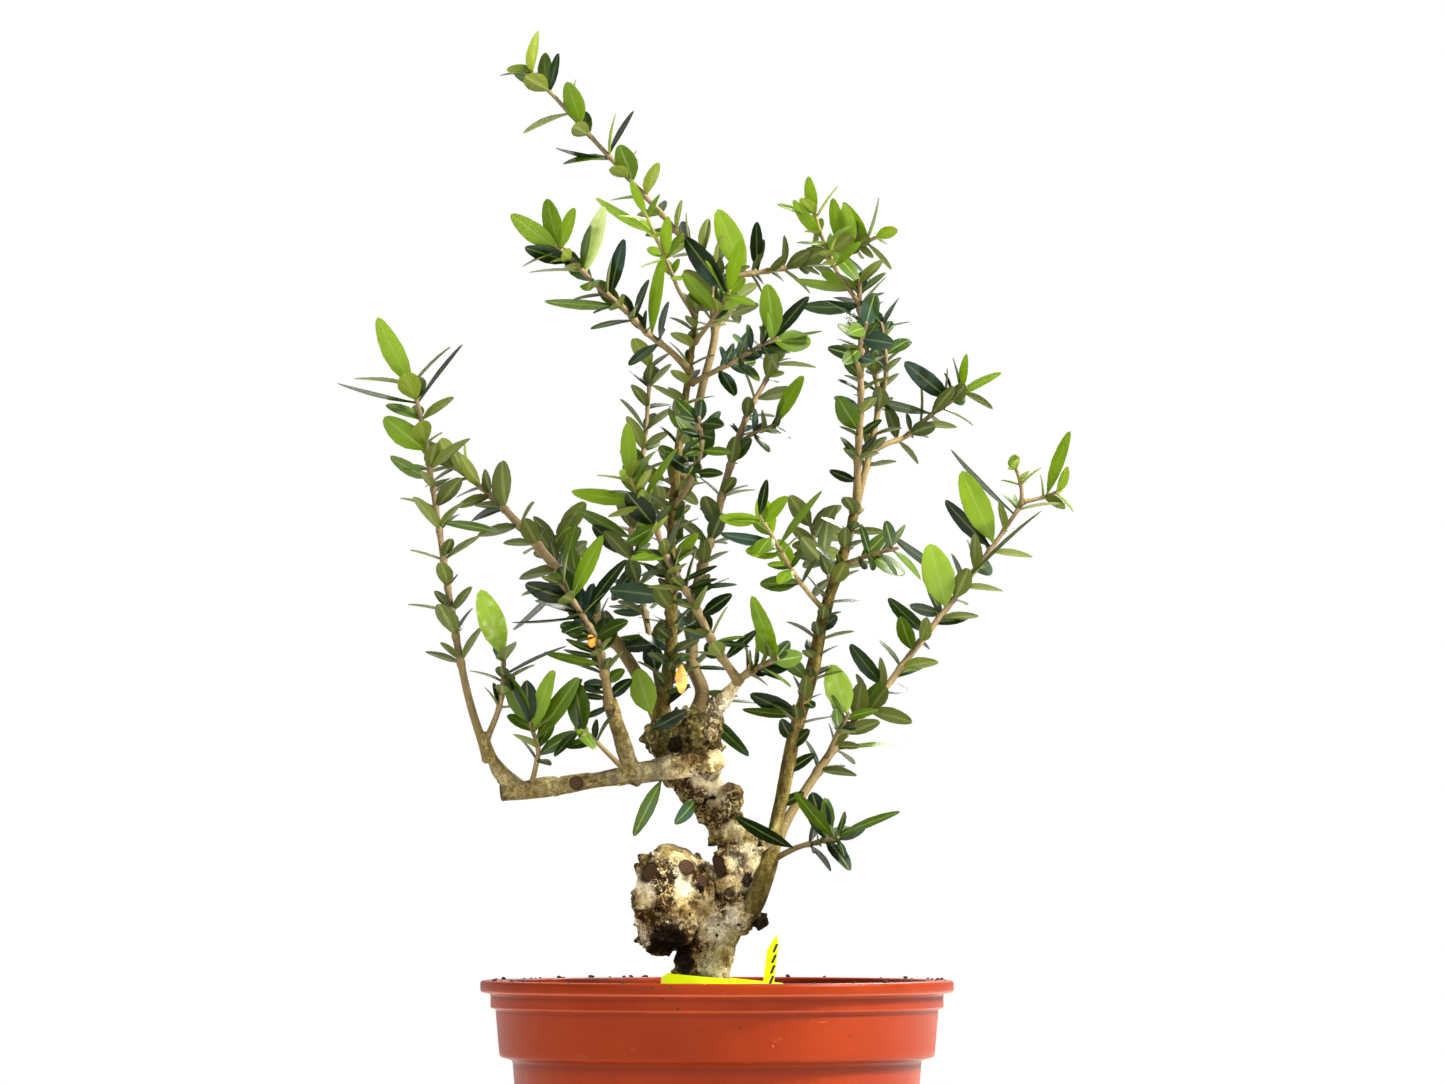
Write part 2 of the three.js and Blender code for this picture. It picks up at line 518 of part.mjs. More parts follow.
// Old wood first: each piece is cut clear of the ones before it, and `wood` keeps their grown outlines.
const wood = [];
const trunkSolids = (grow) => [
  ...[...TRUNK, ...LEFT_BOUGH].map((part) => limb(part, LIMB_SIDES, grow)),
  ...LUMPS.map((part) => lump(part, grow)),
];
add('trunk', wasm.Manifold.union(trunkSolids(0)), COLOURS.bark, 0.9);
wood.push(wasm.Manifold.union(trunkSolids(GAP)));
for (const [name, part] of Object.entries(BOUGHS)) {
  add(name, clear(limb(part, LIMB_SIDES), wood), COLOURS.bark, 0.9);
  wood.push(limb(part, LIMB_SIDES, GAP));
}

// Every stem next, then the leaves, each kept only where it hangs free of every other piece.
const shoots = Object.entries(SHOOTS).map(([name, shoot], index) => {
  const part = { route: shoot.route, radii: shoot.girth };
  const stem = clear(limb(part, STEM_SIDES), wood);
  wood.push(limb(part, STEM_SIDES, GAP));
  return { name, stem, own: wood.length - 1, leaves: leavesOf(shoot, index) };
});
const foliage = [];
for (const { name, stem, own, leaves } of shoots) {
  const others = [...wood.filter((_, i) => i !== own), ...foliage];
  const kept = [];
  for (const one of leaves) {
    const wide = leaf(one, GAP);
    const hit = others.some((other) => near(wide, other) && !wide.intersect(other).isEmpty());
    if (!hit) kept.push(one);
  }
  const body = largest(wasm.Manifold.union([stem, ...kept.map((one) => leaf(one))]).simplify(MERGE));
  add(name, body, COLOURS.leaf, 0.6);
  foliage.push(...kept.map((one) => leaf(one, GAP)));
}

add('pot', pot(), COLOURS.pot, 0.5);
add('potting_soil', soil(wood.slice(0, 2)), COLOURS.soil, 1);
add('plant_label', clear(label(), wood), COLOURS.label, 0.5);

export default tree;
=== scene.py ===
"""A small old olive tree in a round plastic pot: the finish of every surface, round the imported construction.

Lengths are metres, except in the tables of wood, shoots and leaves, which are in millimetres. +Z is up and
the front of the plant faces -Y.
"""

import math

import bpy
import numpy as np
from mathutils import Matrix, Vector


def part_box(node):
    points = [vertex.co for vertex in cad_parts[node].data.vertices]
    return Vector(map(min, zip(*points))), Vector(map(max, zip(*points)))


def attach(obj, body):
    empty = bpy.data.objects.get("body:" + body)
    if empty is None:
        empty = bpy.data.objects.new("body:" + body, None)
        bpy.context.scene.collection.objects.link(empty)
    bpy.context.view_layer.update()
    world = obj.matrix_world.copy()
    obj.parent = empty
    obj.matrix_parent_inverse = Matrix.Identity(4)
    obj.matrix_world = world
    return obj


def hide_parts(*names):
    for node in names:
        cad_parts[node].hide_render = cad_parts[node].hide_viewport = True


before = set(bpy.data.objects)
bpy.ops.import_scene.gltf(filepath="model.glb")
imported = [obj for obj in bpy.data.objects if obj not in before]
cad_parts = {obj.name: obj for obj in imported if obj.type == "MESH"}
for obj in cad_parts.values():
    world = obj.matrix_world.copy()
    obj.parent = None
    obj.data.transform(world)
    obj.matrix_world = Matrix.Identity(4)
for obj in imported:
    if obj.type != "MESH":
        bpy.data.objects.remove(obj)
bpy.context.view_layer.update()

RIM, _, POT_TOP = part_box("pot")[1]
SOIL_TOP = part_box("potting_soil")[1][2]
FRONT = np.array([0.0, -1.0, 0.0])

# Old wood: each limb is a route of points, with one radius for each point.
TRUNK = [
    dict(route=[(-5, 0, 96), (-4.2, 0, 140), (-2.5, 0, 163), (2, 0, 179), (8, 0, 191), (10.5, 0, 200),
                (9, 0, 207.5), (3, 0, 215), (-3, 0, 223), (-10, 0, 232), (-15, 0, 243), (-17, 0, 252)],
         radii=[11.8, 10, 8.8, 9.4, 8.6, 8, 7.3, 6.6, 7.8, 9, 10, 8]),
    dict(route=[(20, -3, 206), (11, -6, 201), (2, -9, 196)],
         radii=[3.6, 3.8, 4.4]),
    dict(route=[(8, -1, 180), (14, -3, 177), (19, -4, 172)],
         radii=[5, 4.2, 3.4]),
    dict(route=[(-1.5, -6, 232), (-1.5, -10, 246), (-1, -14, 257), (4, -18, 263), (9, -20, 270)],
         radii=[3.8, 3.3, 3.3, 2.7, 2.1]),
]
LEFT_BOUGH = [
    dict(route=[(1, -17, 237.5), (-5, -17, 236.7), (-17, -16, 235), (-33, -15, 232), (-56, -15, 228.5),
                (-76, -15, 225.6), (-85, -15, 224.8)],
         radii=[3.4, 4.8, 4.9, 3.7, 3.6, 3.5, 3.3]),
    dict(route=[(-78, -15, 226), (-86, -15, 233), (-91, -15, 242), (-93, -15, 248)],
         radii=[3, 2.9, 2.5, 2]),
    dict(route=[(-34, -15, 233), (-37, -17, 243), (-40, -19, 252), (-43, -21, 262)],
         radii=[3, 2.9, 2.6, 2]),
]
BOUGHS = {
    "bough_right": dict(
        route=[(7, -1, 171), (14, -8, 179.6), (17.5, -8.5, 187), (20.5, -4, 195.5), (22.6, 1, 204.3),
               (23.8, 4, 213), (25.7, 4, 222), (28.5, 4, 236), (31, 4, 248), (38, 4, 273), (43, 4, 297),
               (50, 5, 318), (56, 6, 340)],
        radii=[4, 4.4, 4.1, 3.3, 3, 2.9, 2.9, 2.9, 2.8, 2.6, 2.3, 2.1, 1.9]),
    "bough_centre": dict(
        route=[(-19, 0, 246), (-22, 0, 259), (-20, 0, 270), (-18, 0, 288), (-18.5, 0, 310), (-18, 0, 334),
               (-15, 0, 366), (-11, -1, 395), (-8, -2, 420)],
        radii=[4.2, 3.4, 2.8, 2.3, 2.1, 1.9, 1.6, 1.3, 1]),
}

# Leafy shoots. pairs counts the opposite leaf pairs from start (0 is the foot of the stem, 1 its tip),
# size and tone are the leaf's length and youth at the foot and at the tip, and turn is the first pair's
# angle round the stem. Each of leaves is a single leaf: where it leaves the stem, its tip, its width, how
# far it faces the front, and its youth. A youth near 1 also turns a leaf near white, as painted sunlight.
SHOOTS = {
    "left_tall": dict(
        route=[(-91, -15, 238), (-98.5, -13, 261), (-104, -8, 286), (-108, -3, 309), (-112, 2, 335),
               (-115, 5, 353), (-119, 7, 376), (-123.5, 8, 392)],
        girth=(1.7, 0.8), pairs=13, start=0.2, size=(13, 21), turn=0.2, tone=(0.15, 0.6),
        leaves=[(1, (-137, 2, 415), 10, 0.9, 0.9), (0.9, (-153, 4, 388), 6, 0.3, 0.35),
                (0.9, (-103, 10, 406), 6, 0.3, 0.3), (0.77, (-133, -4, 375), 10.5, 0.9, 0.75),
                (0.7, (-132, 10, 359), 8, 0.6, 0.6), (0.56, (-87, 0, 330), 7, 0.5, 0.4)]),
    "left_rear": dict(
        route=[(-20, 0, 248), (-33, 9, 274), (-45, 16, 291), (-61, 23, 311), (-77, 29, 330), (-89, 33, 343),
               (-98, 36, 351), (-109, 38, 359)],
        girth=(2.8, 1.9, 0.9), pairs=11, start=0.2, size=(15, 19), turn=1, tone=(0.12, 0.45),
        leaves=[(0.43, (-81, 20, 289), 6, 0.3, 0.3), (1, (-121, 30, 368), 8, 0.8, 0.6)]),
    "left_front": dict(
        route=[(-42.5, -21, 259), (-44.5, -24, 271), (-47, -29, 283), (-51, -34, 291), (-56, -39, 299),
               (-63, -43, 309)],
        girth=(2, 0.8), pairs=7, start=0.15, size=(13, 19), turn=0.4, tone=(0.12, 0.45)),
    "bough_end": dict(
        route=[(-92, -15, 245), (-87, -20, 257), (-85, -24, 266), (-84.5, -27, 280)],
        girth=(1.3, 0.8), pairs=4, start=0.3, size=(12, 17), turn=0, tone=(0.12, 0.45),
        leaves=[(1, (-93, -32, 305), 10.4, 1, 0.95), (0.8, (-60, -30, 284), 6, 0.3, 0.3)]),
    "bough_knot": dict(
        route=[(-74, -16, 227), (-72, -20, 235), (-71, -23, 242), (-74, -27, 252)],
        girth=(1.2, 0.7), pairs=3, start=0.35, size=(11, 16), turn=0.8, tone=(0.12, 0.45),
        leaves=[(1, (-84, -30, 270), 7, 0.7, 0.15), (0.8, (-55, -30, 271), 7, 0.7, 0.5),
                (0.9, (-66, -38, 273), 7, 0.9, 0.8), (1, (-75, -24, 269), 7.6, 1, 0.05)]),
    "bough_twig": dict(
        route=[(-37, -16, 234), (-45, -24, 242), (-50, -29, 247), (-56, -33, 250)],
        girth=(1.1, 0.7), pairs=3, start=0.4, size=(11, 15), turn=0.3, tone=(0.12, 0.45)),
    "leader": dict(
        route=[(-15, 2, 352), (-10, 10, 368), (-6, 15, 388), (-1, 20, 409), (-2, 23, 426), (1, 26, 436),
               (-6, 28, 444), (-14, 29, 450), (-23, 30, 460), (-33, 30, 471), (-44, 29, 483),
               (-56, 27, 496), (-68, 25, 509), (-78, 23, 519)],
        girth=(1.8, 0.7), pairs=15, start=0.22, size=(14, 18), turn=0.5, tone=(0.3, 0.6),
        leaves=[(0.84, (-60, 18, 512), 8, 1, 0.7), (0.7, (-39, 24, 487), 8.8, 1, 0.6),
                (0.76, (-66, 32, 485), 6, 0.3, 0.35), (0.77, (-34, 32, 502), 6, 0.4, 0.3),
                (0.92, (-64, 22, 524), 6, 0.6, 0.3), (0.94, (-82, 20, 515), 5, 0.6, 0.5)]),
    "pale_thin": dict(
        route=[(-9, -2, 416), (-15, -8, 425), (-18.5, -14, 433), (-24, -20, 445), (-29, -25, 456)],
        girth=(0.9, 0.6), pairs=4, start=0.35, size=(11, 13), turn=1.2, tone=(0.8, 0.9),
        leaves=[(0.6, (-20, -22, 454), 6, 0.8, 0.9), (0.8, (-49, -24, 460), 6, 0.6, 0.9),
                (1, (-34, -28, 468), 5, 0.7, 0.8)]),
    "centre_top": dict(
        route=[(-9, -3, 405), (-4, -8, 411), (0, -12, 416), (5, -17, 425)],
        girth=(1, 0.7), pairs=3, start=0.4, size=(12, 15), turn=0.2, tone=(0.5, 0.8),
        leaves=[(0.7, (-14, -20, 431), 7, 0.8, 0.7), (1, (-13.5, -14, 446), 9, 0.9, 0.1),
                (1, (10, -24, 445), 7, 0.8, 0.85)]),
    "upper_left": dict(
        route=[(-11, -1, 394), (-18.5, -9, 401), (-28, -17, 408), (-37, -24, 417), (-48, -31, 426),
               (-56, -36, 434), (-64, -40, 441)],
        girth=(1.4, 0.8), pairs=9, start=0.2, size=(14, 19), turn=0.1, tone=(0.2, 0.7),
        leaves=[(1, (-82, -44, 452), 8.8, 0.9, 0.8), (1, (-68, -36, 460), 8, 0.9, 0.65),
                (0.85, (-76, -40, 440), 8, 0.7, 0.3), (0.75, (-46, -38, 457), 7.5, 0.9, 1),
                (0.58, (-37.5, -20, 446), 6.5, 0.9, 0.15), (0.52, (-69, -22, 420), 7, 0.5, 0.6),
                (0.3, (-23, -20, 439), 7, 0.7, 0.85)]),
    "upper_right": dict(
        route=[(-10, -1, 389), (-1, -9, 393), (6, -17, 396), (15, -25, 401), (24, -31, 405)],
        girth=(1.2, 0.7), pairs=6, start=0.25, size=(13, 17), turn=0.6, tone=(0.12, 0.45),
        leaves=[(1, (21, -36, 426), 9, 1, 0.65), (1, (36, -30, 422), 8, 0.7, 0.2),
                (0.8, (42, -24, 409), 6, 0.3, 0.5)]),
    "top_right": dict(
        route=[(0, 25, 433), (12, 29, 435), (23, 33, 437), (32, 36, 439), (41, 39, 442), (51, 42, 446),
               (60, 44, 449), (66, 46, 452)],
        girth=(1.2, 0.7), pairs=10, start=0.12, size=(13, 17), turn=0, tone=(0.3, 0.6),
        leaves=[(0.14, (-1, 22, 460), 10.4, 1, 0.9), (0.2, (16, 34, 457), 7, 0.7, 0.15),
                (0.72, (47, 34, 466), 6.4, 0.9, 0.75), (0.9, (50, 48, 465), 7, 0.8, 0.8),
                (0.78, (52, 34, 464), 6, 0.9, 0.95)]),
    "right_left": dict(
        route=[(56, 6, 338), (56.5, 4, 359), (57.5, 0, 378), (57.5, -4, 396), (57.5, -7, 410),
               (57, -9, 421), (57, -10, 430)],
        girth=(1.6, 0.8), pairs=11, start=0.12, size=(12, 17), turn=0.9, tone=(0.1, 0.5),
        leaves=[(0.92, (31, -12, 429), 7, 0.5, 0.75), (0.95, (41, -4, 432), 7, 0.7, 0.8),
                (0.8, (34, -8, 419), 8, 0.6, 0.4)]),
    "right_left_side": dict(
        route=[(57, -9, 420), (49, -12, 431), (45.5, -14, 438), (42, -16, 446), (38.5, -18, 457)],
        girth=(0.9, 0.6), pairs=5, start=0.3, size=(12, 14), turn=0.3, tone=(0.5, 0.8),
        leaves=[(0.75, (29.5, -22, 460), 6, 0.8, 0.8), (1, (36, -22, 470), 6, 0.8, 0.8)]),
    "right_right": dict(
        route=[(55, 6, 337), (59.5, 12, 354), (62, 16, 364), (65, 20, 381), (64, 22, 393), (60.5, 24, 404),
               (62, 25, 414)],
        girth=(1.5, 0.8), pairs=9, start=0.15, size=(13, 16), turn=0.2, tone=(0.12, 0.45)),
    "right_fork": dict(
        route=[(65, 20, 380), (68, 17, 392), (67.5, 14, 405), (66, 12, 414)],
        girth=(1, 0.7), pairs=4, start=0.3, size=(12, 15), turn=1.1, tone=(0.12, 0.45)),
    "right_level": dict(
        route=[(61, 15, 362), (69, 22, 366), (76, 28, 369), (83, 32, 375), (89, 35, 380), (95, 37, 384),
               (101, 38, 390)],
        girth=(1.2, 0.7), pairs=7, start=0.2, size=(13, 16), turn=0, tone=(0.12, 0.45),
        leaves=[(0.84, (75.5, 30, 399), 8, 0.9, 0.15), (0.86, (115, 40, 397), 6.5, 0.5, 0.7),
                (0.95, (101, 34, 403), 5, 0.7, 0.8), (0.62, (60.5, 28, 384), 7, 0.5, 0.4)]),
    "right_long": dict(
        route=[(24, 6, 206), (31, 14, 219), (45, 24, 240), (54, 31, 252), (64, 37, 262), (79, 44, 282),
               (94, 49, 301), (102, 52, 312), (114, 55, 328), (125.5, 57, 345)],
        girth=(2, 0.8), pairs=15, start=0.16, size=(14, 20), turn=0.4, tone=(0.25, 0.5),
        leaves=[(0.88, (99, 50, 356), 11, 1, 0.85), (0.87, (92, 60, 344), 8, 0.7, 0.1),
                (0.66, (87, 40, 326), 13, 1, 0.9), (0.65, (78, 56, 301), 7, 0.6, 0.35),
                (0.98, (94, 52, 364), 6, 0.3, 0.3), (0.78, (130, 44, 342), 6, 0.3, 0.6),
                (0.76, (70, 48, 328), 8, 0.4, 0.3), (0.6, (69, 36, 303), 8, 0.7, 0.3),
                (0.62, (103, 52, 297), 7, 0.6, 0.35), (0.56, (73.5, 34, 296), 7, 0.9, 0.5),
                (0.48, (53.5, 36, 285), 8, 0.7, 0.3), (0.5, (88, 50, 280), 7, 0.6, 0.5),
                (0.36, (65.5, 24, 270), 7, 0.7, 0.6), (0.24, (77.5, 34, 247), 6, 0.3, 0.55)]),
    "right_long_bud": dict(
        route=[(124, 56, 343), (124, 54, 350), (121, 52, 360)],
        girth=(0.9, 0.6), pairs=2, start=0.4, size=(9, 10), turn=0, tone=(0.6, 0.8)),
    "right_long_tip": dict(
        route=[(125, 57, 344), (133, 60, 346), (141, 62, 349)],
        girth=(0.9, 0.6), pairs=2, start=0.35, size=(12, 12), turn=0.7, tone=(0.6, 0.8),
        leaves=[(0.6, (143.5, 56, 373), 6.5, 0.7, 0.8)]),
    "right_inner": dict(
        route=[(44, 23, 239), (48, 17, 248), (53, 12, 257)],
        girth=(1, 0.7), pairs=2, start=0.4, size=(12, 15), turn=0.9, tone=(0.12, 0.45),
        leaves=[(1, (45, 6, 276), 11, 1, 0.95)]),
    "right_low": dict(
        route=[(22, 0, 198), (32, -11, 203), (40, -19, 205), (48, -26, 207)],
        girth=(1.3, 0.8), pairs=4, start=0.45, size=(12, 16), turn=0.1, tone=(0.12, 0.45),
        leaves=[(1, (30, -32, 224), 7, 0.7, 0.55), (1, (72, -30, 218), 7, 0.5, 0.45),
                (0.8, (38, -24, 225), 9, 1, 0.1), (0.3, (7, -18, 214), 7, 0.7, 0.1)]),
    "middle_right": dict(
        route=[(8, -19, 269), (12, -22, 272), (16, -24, 274), (24, -28, 278)],
        girth=(1.7, 0.9), pairs=4, start=0.25, size=(13, 17), turn=0.5, tone=(0.12, 0.45)),
    "middle_front": dict(
        route=[(8.5, -20, 269), (5, -22, 274), (-1, -24, 283), (-8.4, -26, 298), (-15, -28, 309),
               (-20, -30, 318), (-26, -32, 334), (-31, -33, 342), (-35, -34, 351)],
        girth=(1.9, 0.8), pairs=10, start=0.15, size=(14, 18), turn=1.3, tone=(0.25, 0.75),
        leaves=[(0.85, (-58, -30, 343), 8, 0.7, 0.75), (0.84, (-16, -38, 361), 6, 0.5, 0.8),
                (1, (-36, -36, 371), 7, 0.9, 0.85), (0.72, (-36, -40, 323), 8, 0.6, 0.4)]),
    "rear_long": dict(
        route=[(-13, 6, 248), (-6, 12, 264), (-10, 18, 278), (-9, 26, 302), (-5, 34, 320), (-1, 40, 333),
               (3, 46, 350), (9, 52, 370), (13, 55, 381), (20, 59, 394), (24, 61, 403)],
        girth=(3.2, 1.7, 0.8), pairs=13, start=0.15, size=(14, 17), turn=0.2, tone=(0.12, 0.45),
        leaves=[(0.06, (-25, 6, 251), 7, 0.7, 0.1)]),
    "rear_side": dict(
        route=[(9, 51, 368), (16, 48, 372), (24, 45, 375)],
        girth=(0.9, 0.6), pairs=3, start=0.3, size=(12, 13), turn=0.4, tone=(0.12, 0.45),
        leaves=[(1, (34.5, 42, 395), 7, 0.8, 0.8)]),
    "rear_left": dict(
        route=[(-22, 3, 258), (-25, 14, 276), (-30, 26, 302), (-35, 36, 324), (-32, 44, 350),
               (-29.5, 48, 368), (-28, 51, 386), (-27, 53, 402)],
        girth=(1.4, 0.7), pairs=12, start=0.15, size=(14, 17), turn=0.7, tone=(0.12, 0.45),
        leaves=[(0.12, (-27, 10, 286), 8, 1, 0.15), (0.38, (-42, 20, 303), 9, 0.6, 0.15)]),
    "front_right": dict(
        route=[(43, 3, 298), (37, -8, 304), (30, -20, 313), (23, -32, 324), (17, -42, 334)],
        girth=(1.1, 0.7), pairs=5, start=0.3, size=(14, 17), turn=0.3, tone=(0.3, 0.8),
        leaves=[(1, (1, -46, 332), 7, 0.7, 0.85), (0.75, (1, -30, 326), 8, 0.6, 0.2),
                (0.7, (41, -30, 345), 7, 0.5, 0.7)]),
    "right_short": dict(
        route=[(49, 4, 316), (56, -4, 318), (63, -12, 320), (72, -19, 322)],
        girth=(1.1, 0.7), pairs=4, start=0.3, size=(13, 16), turn=0.9, tone=(0.12, 0.45)),
    "back_centre": dict(
        route=[(-18, 2, 322), (-19, 16, 330), (-22, 32, 338), (-20, 50, 346), (-16, 66, 352)],
        girth=(1.2, 0.7), pairs=6, start=0.35, size=(13, 17), turn=0.4, tone=(0.12, 0.45)),
    "back_right": dict(
        route=[(44, 6, 300), (46, 18, 308), (44, 32, 317), (40, 48, 326), (38, 62, 336)],
        girth=(1.2, 0.7), pairs=6, start=0.3, size=(13, 17), turn=1, tone=(0.12, 0.45)),
    "front_centre": dict(
        route=[(-17, -2, 340), (-12, -14, 346), (-8, -28, 354), (-6, -42, 362), (-7, -54, 372)],
        girth=(1.1, 0.7), pairs=5, start=0.35, size=(13, 16), turn=0.6, tone=(0.12, 0.45)),
    "back_top": dict(
        route=[(-1, 22, 412), (4, 36, 418), (6, 50, 424), (4, 64, 432)],
        girth=(1, 0.7), pairs=4, start=0.35, size=(12, 15), turn=0.2, tone=(0.12, 0.45)),
    "back_left": dict(
        route=[(-60, 24, 310), (-64, 38, 316), (-66, 52, 323), (-64, 66, 332)],
        girth=(1.1, 0.7), pairs=5, start=0.35, size=(13, 16), turn=0.8, tone=(0.12, 0.45)),
    "front_right_high": dict(
        route=[(57.5, -5, 392), (56, -18, 396), (57, -32, 402), (59, -44, 410)],
        girth=(1, 0.7), pairs=4, start=0.35, size=(12, 15), turn=0.5, tone=(0.12, 0.45)),
}

# Leaves that grow straight from the two upright boughs.
BOUGH_FOLIAGE = {
    "bough_centre": dict(pairs=26, start=0.1, size=(15, 14), turn=0.4, tone=(0.1, 0.4), tufts=0.5),
    "bough_right": dict(pairs=12, start=0.67, size=(12, 14), turn=0.1, tone=(0.05, 0.3), tufts=0.6),
}

# Single leaves: the foot, the tip, the width, how far it faces the front, and its youth. Those with only
# x and z grow from the nearest stem, at that stem's depth.
SINGLES = [
    ((-38, 329), (-57, 341), 7, 0.8, 0.6), ((-25, 329), (-35, 343), 10, 0.9, 0.12),
    ((-49, 320), (-51, 333), 7, 0.9, 0.12), ((-63, 311), (-57, 334), 5, 0.8, 0.55),
    ((-57, 301), (-46, 326), 7, 0.9, 0.75), ((-56, 323), (-60, 334), 4, 0.8, 0.85),
    ((-49, 308), (-59, 323), 9, 0.9, 0.5), ((-51, 295), (-38, 318), 6, 0.8, 0.15),
    ((-21, 303), (-43, 307), 8.5, 0.9, 0.35), ((-59, 300), (-76, 306), 8.5, 0.9, 0.1),
    ((-38, 322), (-21, 322), 3.7, 0.7, 0.6), ((-44, 317), (-27, 317), 2.6, 0.4, 0.5),
    ((-20, 311), (-30, 316), 4, 0.8, 0.2), ((-15, 316), (-8, 329), 5.6, 0.9, 0.85),
    ((-7, 322), (-6, 329), 4, 0.8, 0.5), ((-12, 325), (-15, 334), 7, 0.9, 0.45),
    ((-32, 325), (-26, 331), 7.5, 0.9, 0.65), ((-12, 309), (0, 315), 3.2, 0.6, 0.2),
    ((-11, 306), (0, 310), 3, 0.6, 0.3), ((-12, 304), (-1, 307), 5, 0.8, 0.35),
    ((-5, 295), (6, 303), 6.2, 0.9, 0.08), ((-1, 306), (8, 310), 3.2, 0.6, 0.1),
    ((-31, 300), (-44, 300), 3, 0.5, 0.35), ((-32, 297), (-42, 298), 3.8, 0.7, 0.35),
    ((-12, 293), (-32, 295), 2.6, 0.3, 0.15), ((-36, 291), (-13, 284), 6.2, 0.9, 0.4),
    ((-3, 287), (-13, 290), 5.6, 0.9, 0.15), ((-39, 284), (-24, 284), 5.6, 0.9, 0.12),
    ((-56, 292), (-81, 290), 2.6, 0.3, 0.1), ((-51, 292), (-58, 289), 6.5, 0.9, 0.1),
    ((-46, 282), (-40, 290), 7.5, 0.9, 0.4), ((-47, 280), (-60, 285), 3.7, 0.7, 0.4),
    ((-47, 275), (-69, 280), 4.4, 0.8, 0.6), ((-48, 278), (-61, 280), 3.2, 0.6, 0.3),
    ((-44, 264), (-44, 278), 3.1, 0.7, 0.1), ((-42, 262), (-34, 270), 5.6, 0.9, 0.1),
    ((-38, 269), (-37, 274), 5, 0.9, 0.5), ((-47, 267), (-53, 268), 5, 0.9, 0.2),
    ((-44, 262), (-56, 264), 3, 0.7, 0.3), ((-44, 264), (-56, 267), 3, 0.6, 0.2),
    ((-51, 251), (-57, 269), 10, 0.9, 0.45), ((-71, 246), (-55, 270), 8, 0.9, 0.6),
    ((-69, 255), (-65, 273), 5.6, 0.9, 0.85), ((-72, 253), (-76, 269), 7.5, 0.9, 0.2),
    ((-74, 252), (-84, 270), 8.5, 0.9, 0.5), ((-69, 239), (-56, 250), 6, 0.9, 0.4),
    ((-43, 254), (-54, 254), 3.7, 0.7, 0.2), ((-56, 250), (-47, 242), 5, 0.8, 0.6),
    ((-12, 274), (5, 275), 3.1, 0.6, 0.2), ((-22, 278), (-10, 278), 2.6, 0.4, 0.4),
    ((-7, 265), (8, 264), 3.7, 0.7, 0.5), ((-1, 284), (13, 283), 3.8, 0.7, 0.25),
    ((7, 280), (16, 290), 5, 0.8, 0.1), ((19, 290), (13, 302), 7.5, 0.9, 0.65),
    ((25, 280), (16, 288), 8.5, 0.9, 0.65), ((3, 287), (11, 287), 2.6, 0.6, 0.5),
    ((25, 302), (17, 308), 7, 0.9, 0.5), ((7, 252), (13, 240), 5.6, 0.9, 0.35),
    ((-1, 261), (18, 261), 2.6, 0.5, 0.6), ((13, 250), (25, 254), 5.6, 0.9, 0.15),
    ((25, 258), (10, 257), 4.4, 0.8, 0.4), ((21, 260), (13, 264), 7.5, 0.9, 0.15),
    ((-18, 334), (-14, 342), 6.2, 0.9, 0.45), ((-2, 334), (-4, 342), 5.2, 0.9, 0.4),
    ((15, 335), (20, 348), 4.8, 0.8, 0.15), ((-14, 356), (-23, 364), 7, 0.9, 0.55),
    ((-12, 370), (-20, 379), 6.8, 0.9, 0.6), ((-26, 354), (-33, 365), 7.2, 0.9, 0.5),
    ((7, 360), (13, 370), 6.2, 0.9, 0.4), ((56, 350), (45, 354), 5.2, 0.7, 0.1),
    ((57, 370), (48, 383), 9.5, 0.9, 0.6), ((58, 390), (50, 403), 7, 0.8, 0.45),
    ((38, 290), (48, 296), 6, 0.8, 0.25), ((25, 244), (37, 250), 5.2, 0.8, 0.3),
    ((28, 264), (39, 259), 5, 0.7, 0.15), ((33, 270), (23, 283), 6.6, 0.9, 0.55),
    ((27, 233), (39, 241), 5.6, 0.8, 0.1), ((24, 220), (35, 225), 5.6, 0.7, 0.2),
    ((-22, -17, 230), (-34, -20, 208), 6.4, 0.9, 0.45), ((-8, -6, 223), (-16, -14, 212), 6.2, 0.9, 0.35),
    ((-26, -9, 256), (-33, -14, 273.5), 10.6, 0.97, 0.8), ((-26, -9, 250), (-12, -15, 257), 5.6, 0.9, 0.1),
]
DYING = [((-14, -4, 276), (-15, -9, 264.5), 4.8, 0.98, 0.5), ((-51, 287), (-50, 282), 3.7, 0.9, 0.5),
         ((11, 280), (13, 276), 3, 0.9, 0.5)]

# --------------------------------------------------------------------------------------------------
# Shader maths
# --------------------------------------------------------------------------------------------------


class Value:
    """A number or colour inside a material. Arithmetic on it adds the Math nodes that work it out."""

    def __init__(self, finish, socket):
        self.finish, self.socket = finish, socket

    def math(self, operation, *others):
        values = {i: value for i, value in enumerate((self, *others))}
        return self.finish.node("Math", {"operation": operation}, values)

    def __add__(self, other):
        return self.math("ADD", other)

    def __sub__(self, other):
        return self.math("SUBTRACT", other)

    def __mul__(self, other):
        return self.math("MULTIPLY", other)

    def __truediv__(self, other):
        return self.math("DIVIDE", other)

    def __rsub__(self, other):
        return self.finish.node("Math", {"operation": "SUBTRACT"}, {0: other, 1: self})

    __radd__, __rmul__ = __add__, __mul__

    def above(self, low, high):
        """0 below low, 1 above high, smooth between."""
        return self.finish.node("MapRange", {"interpolation_type": "SMOOTHSTEP"},
                                {"Value": self, "From Min": low, "From Max": high})


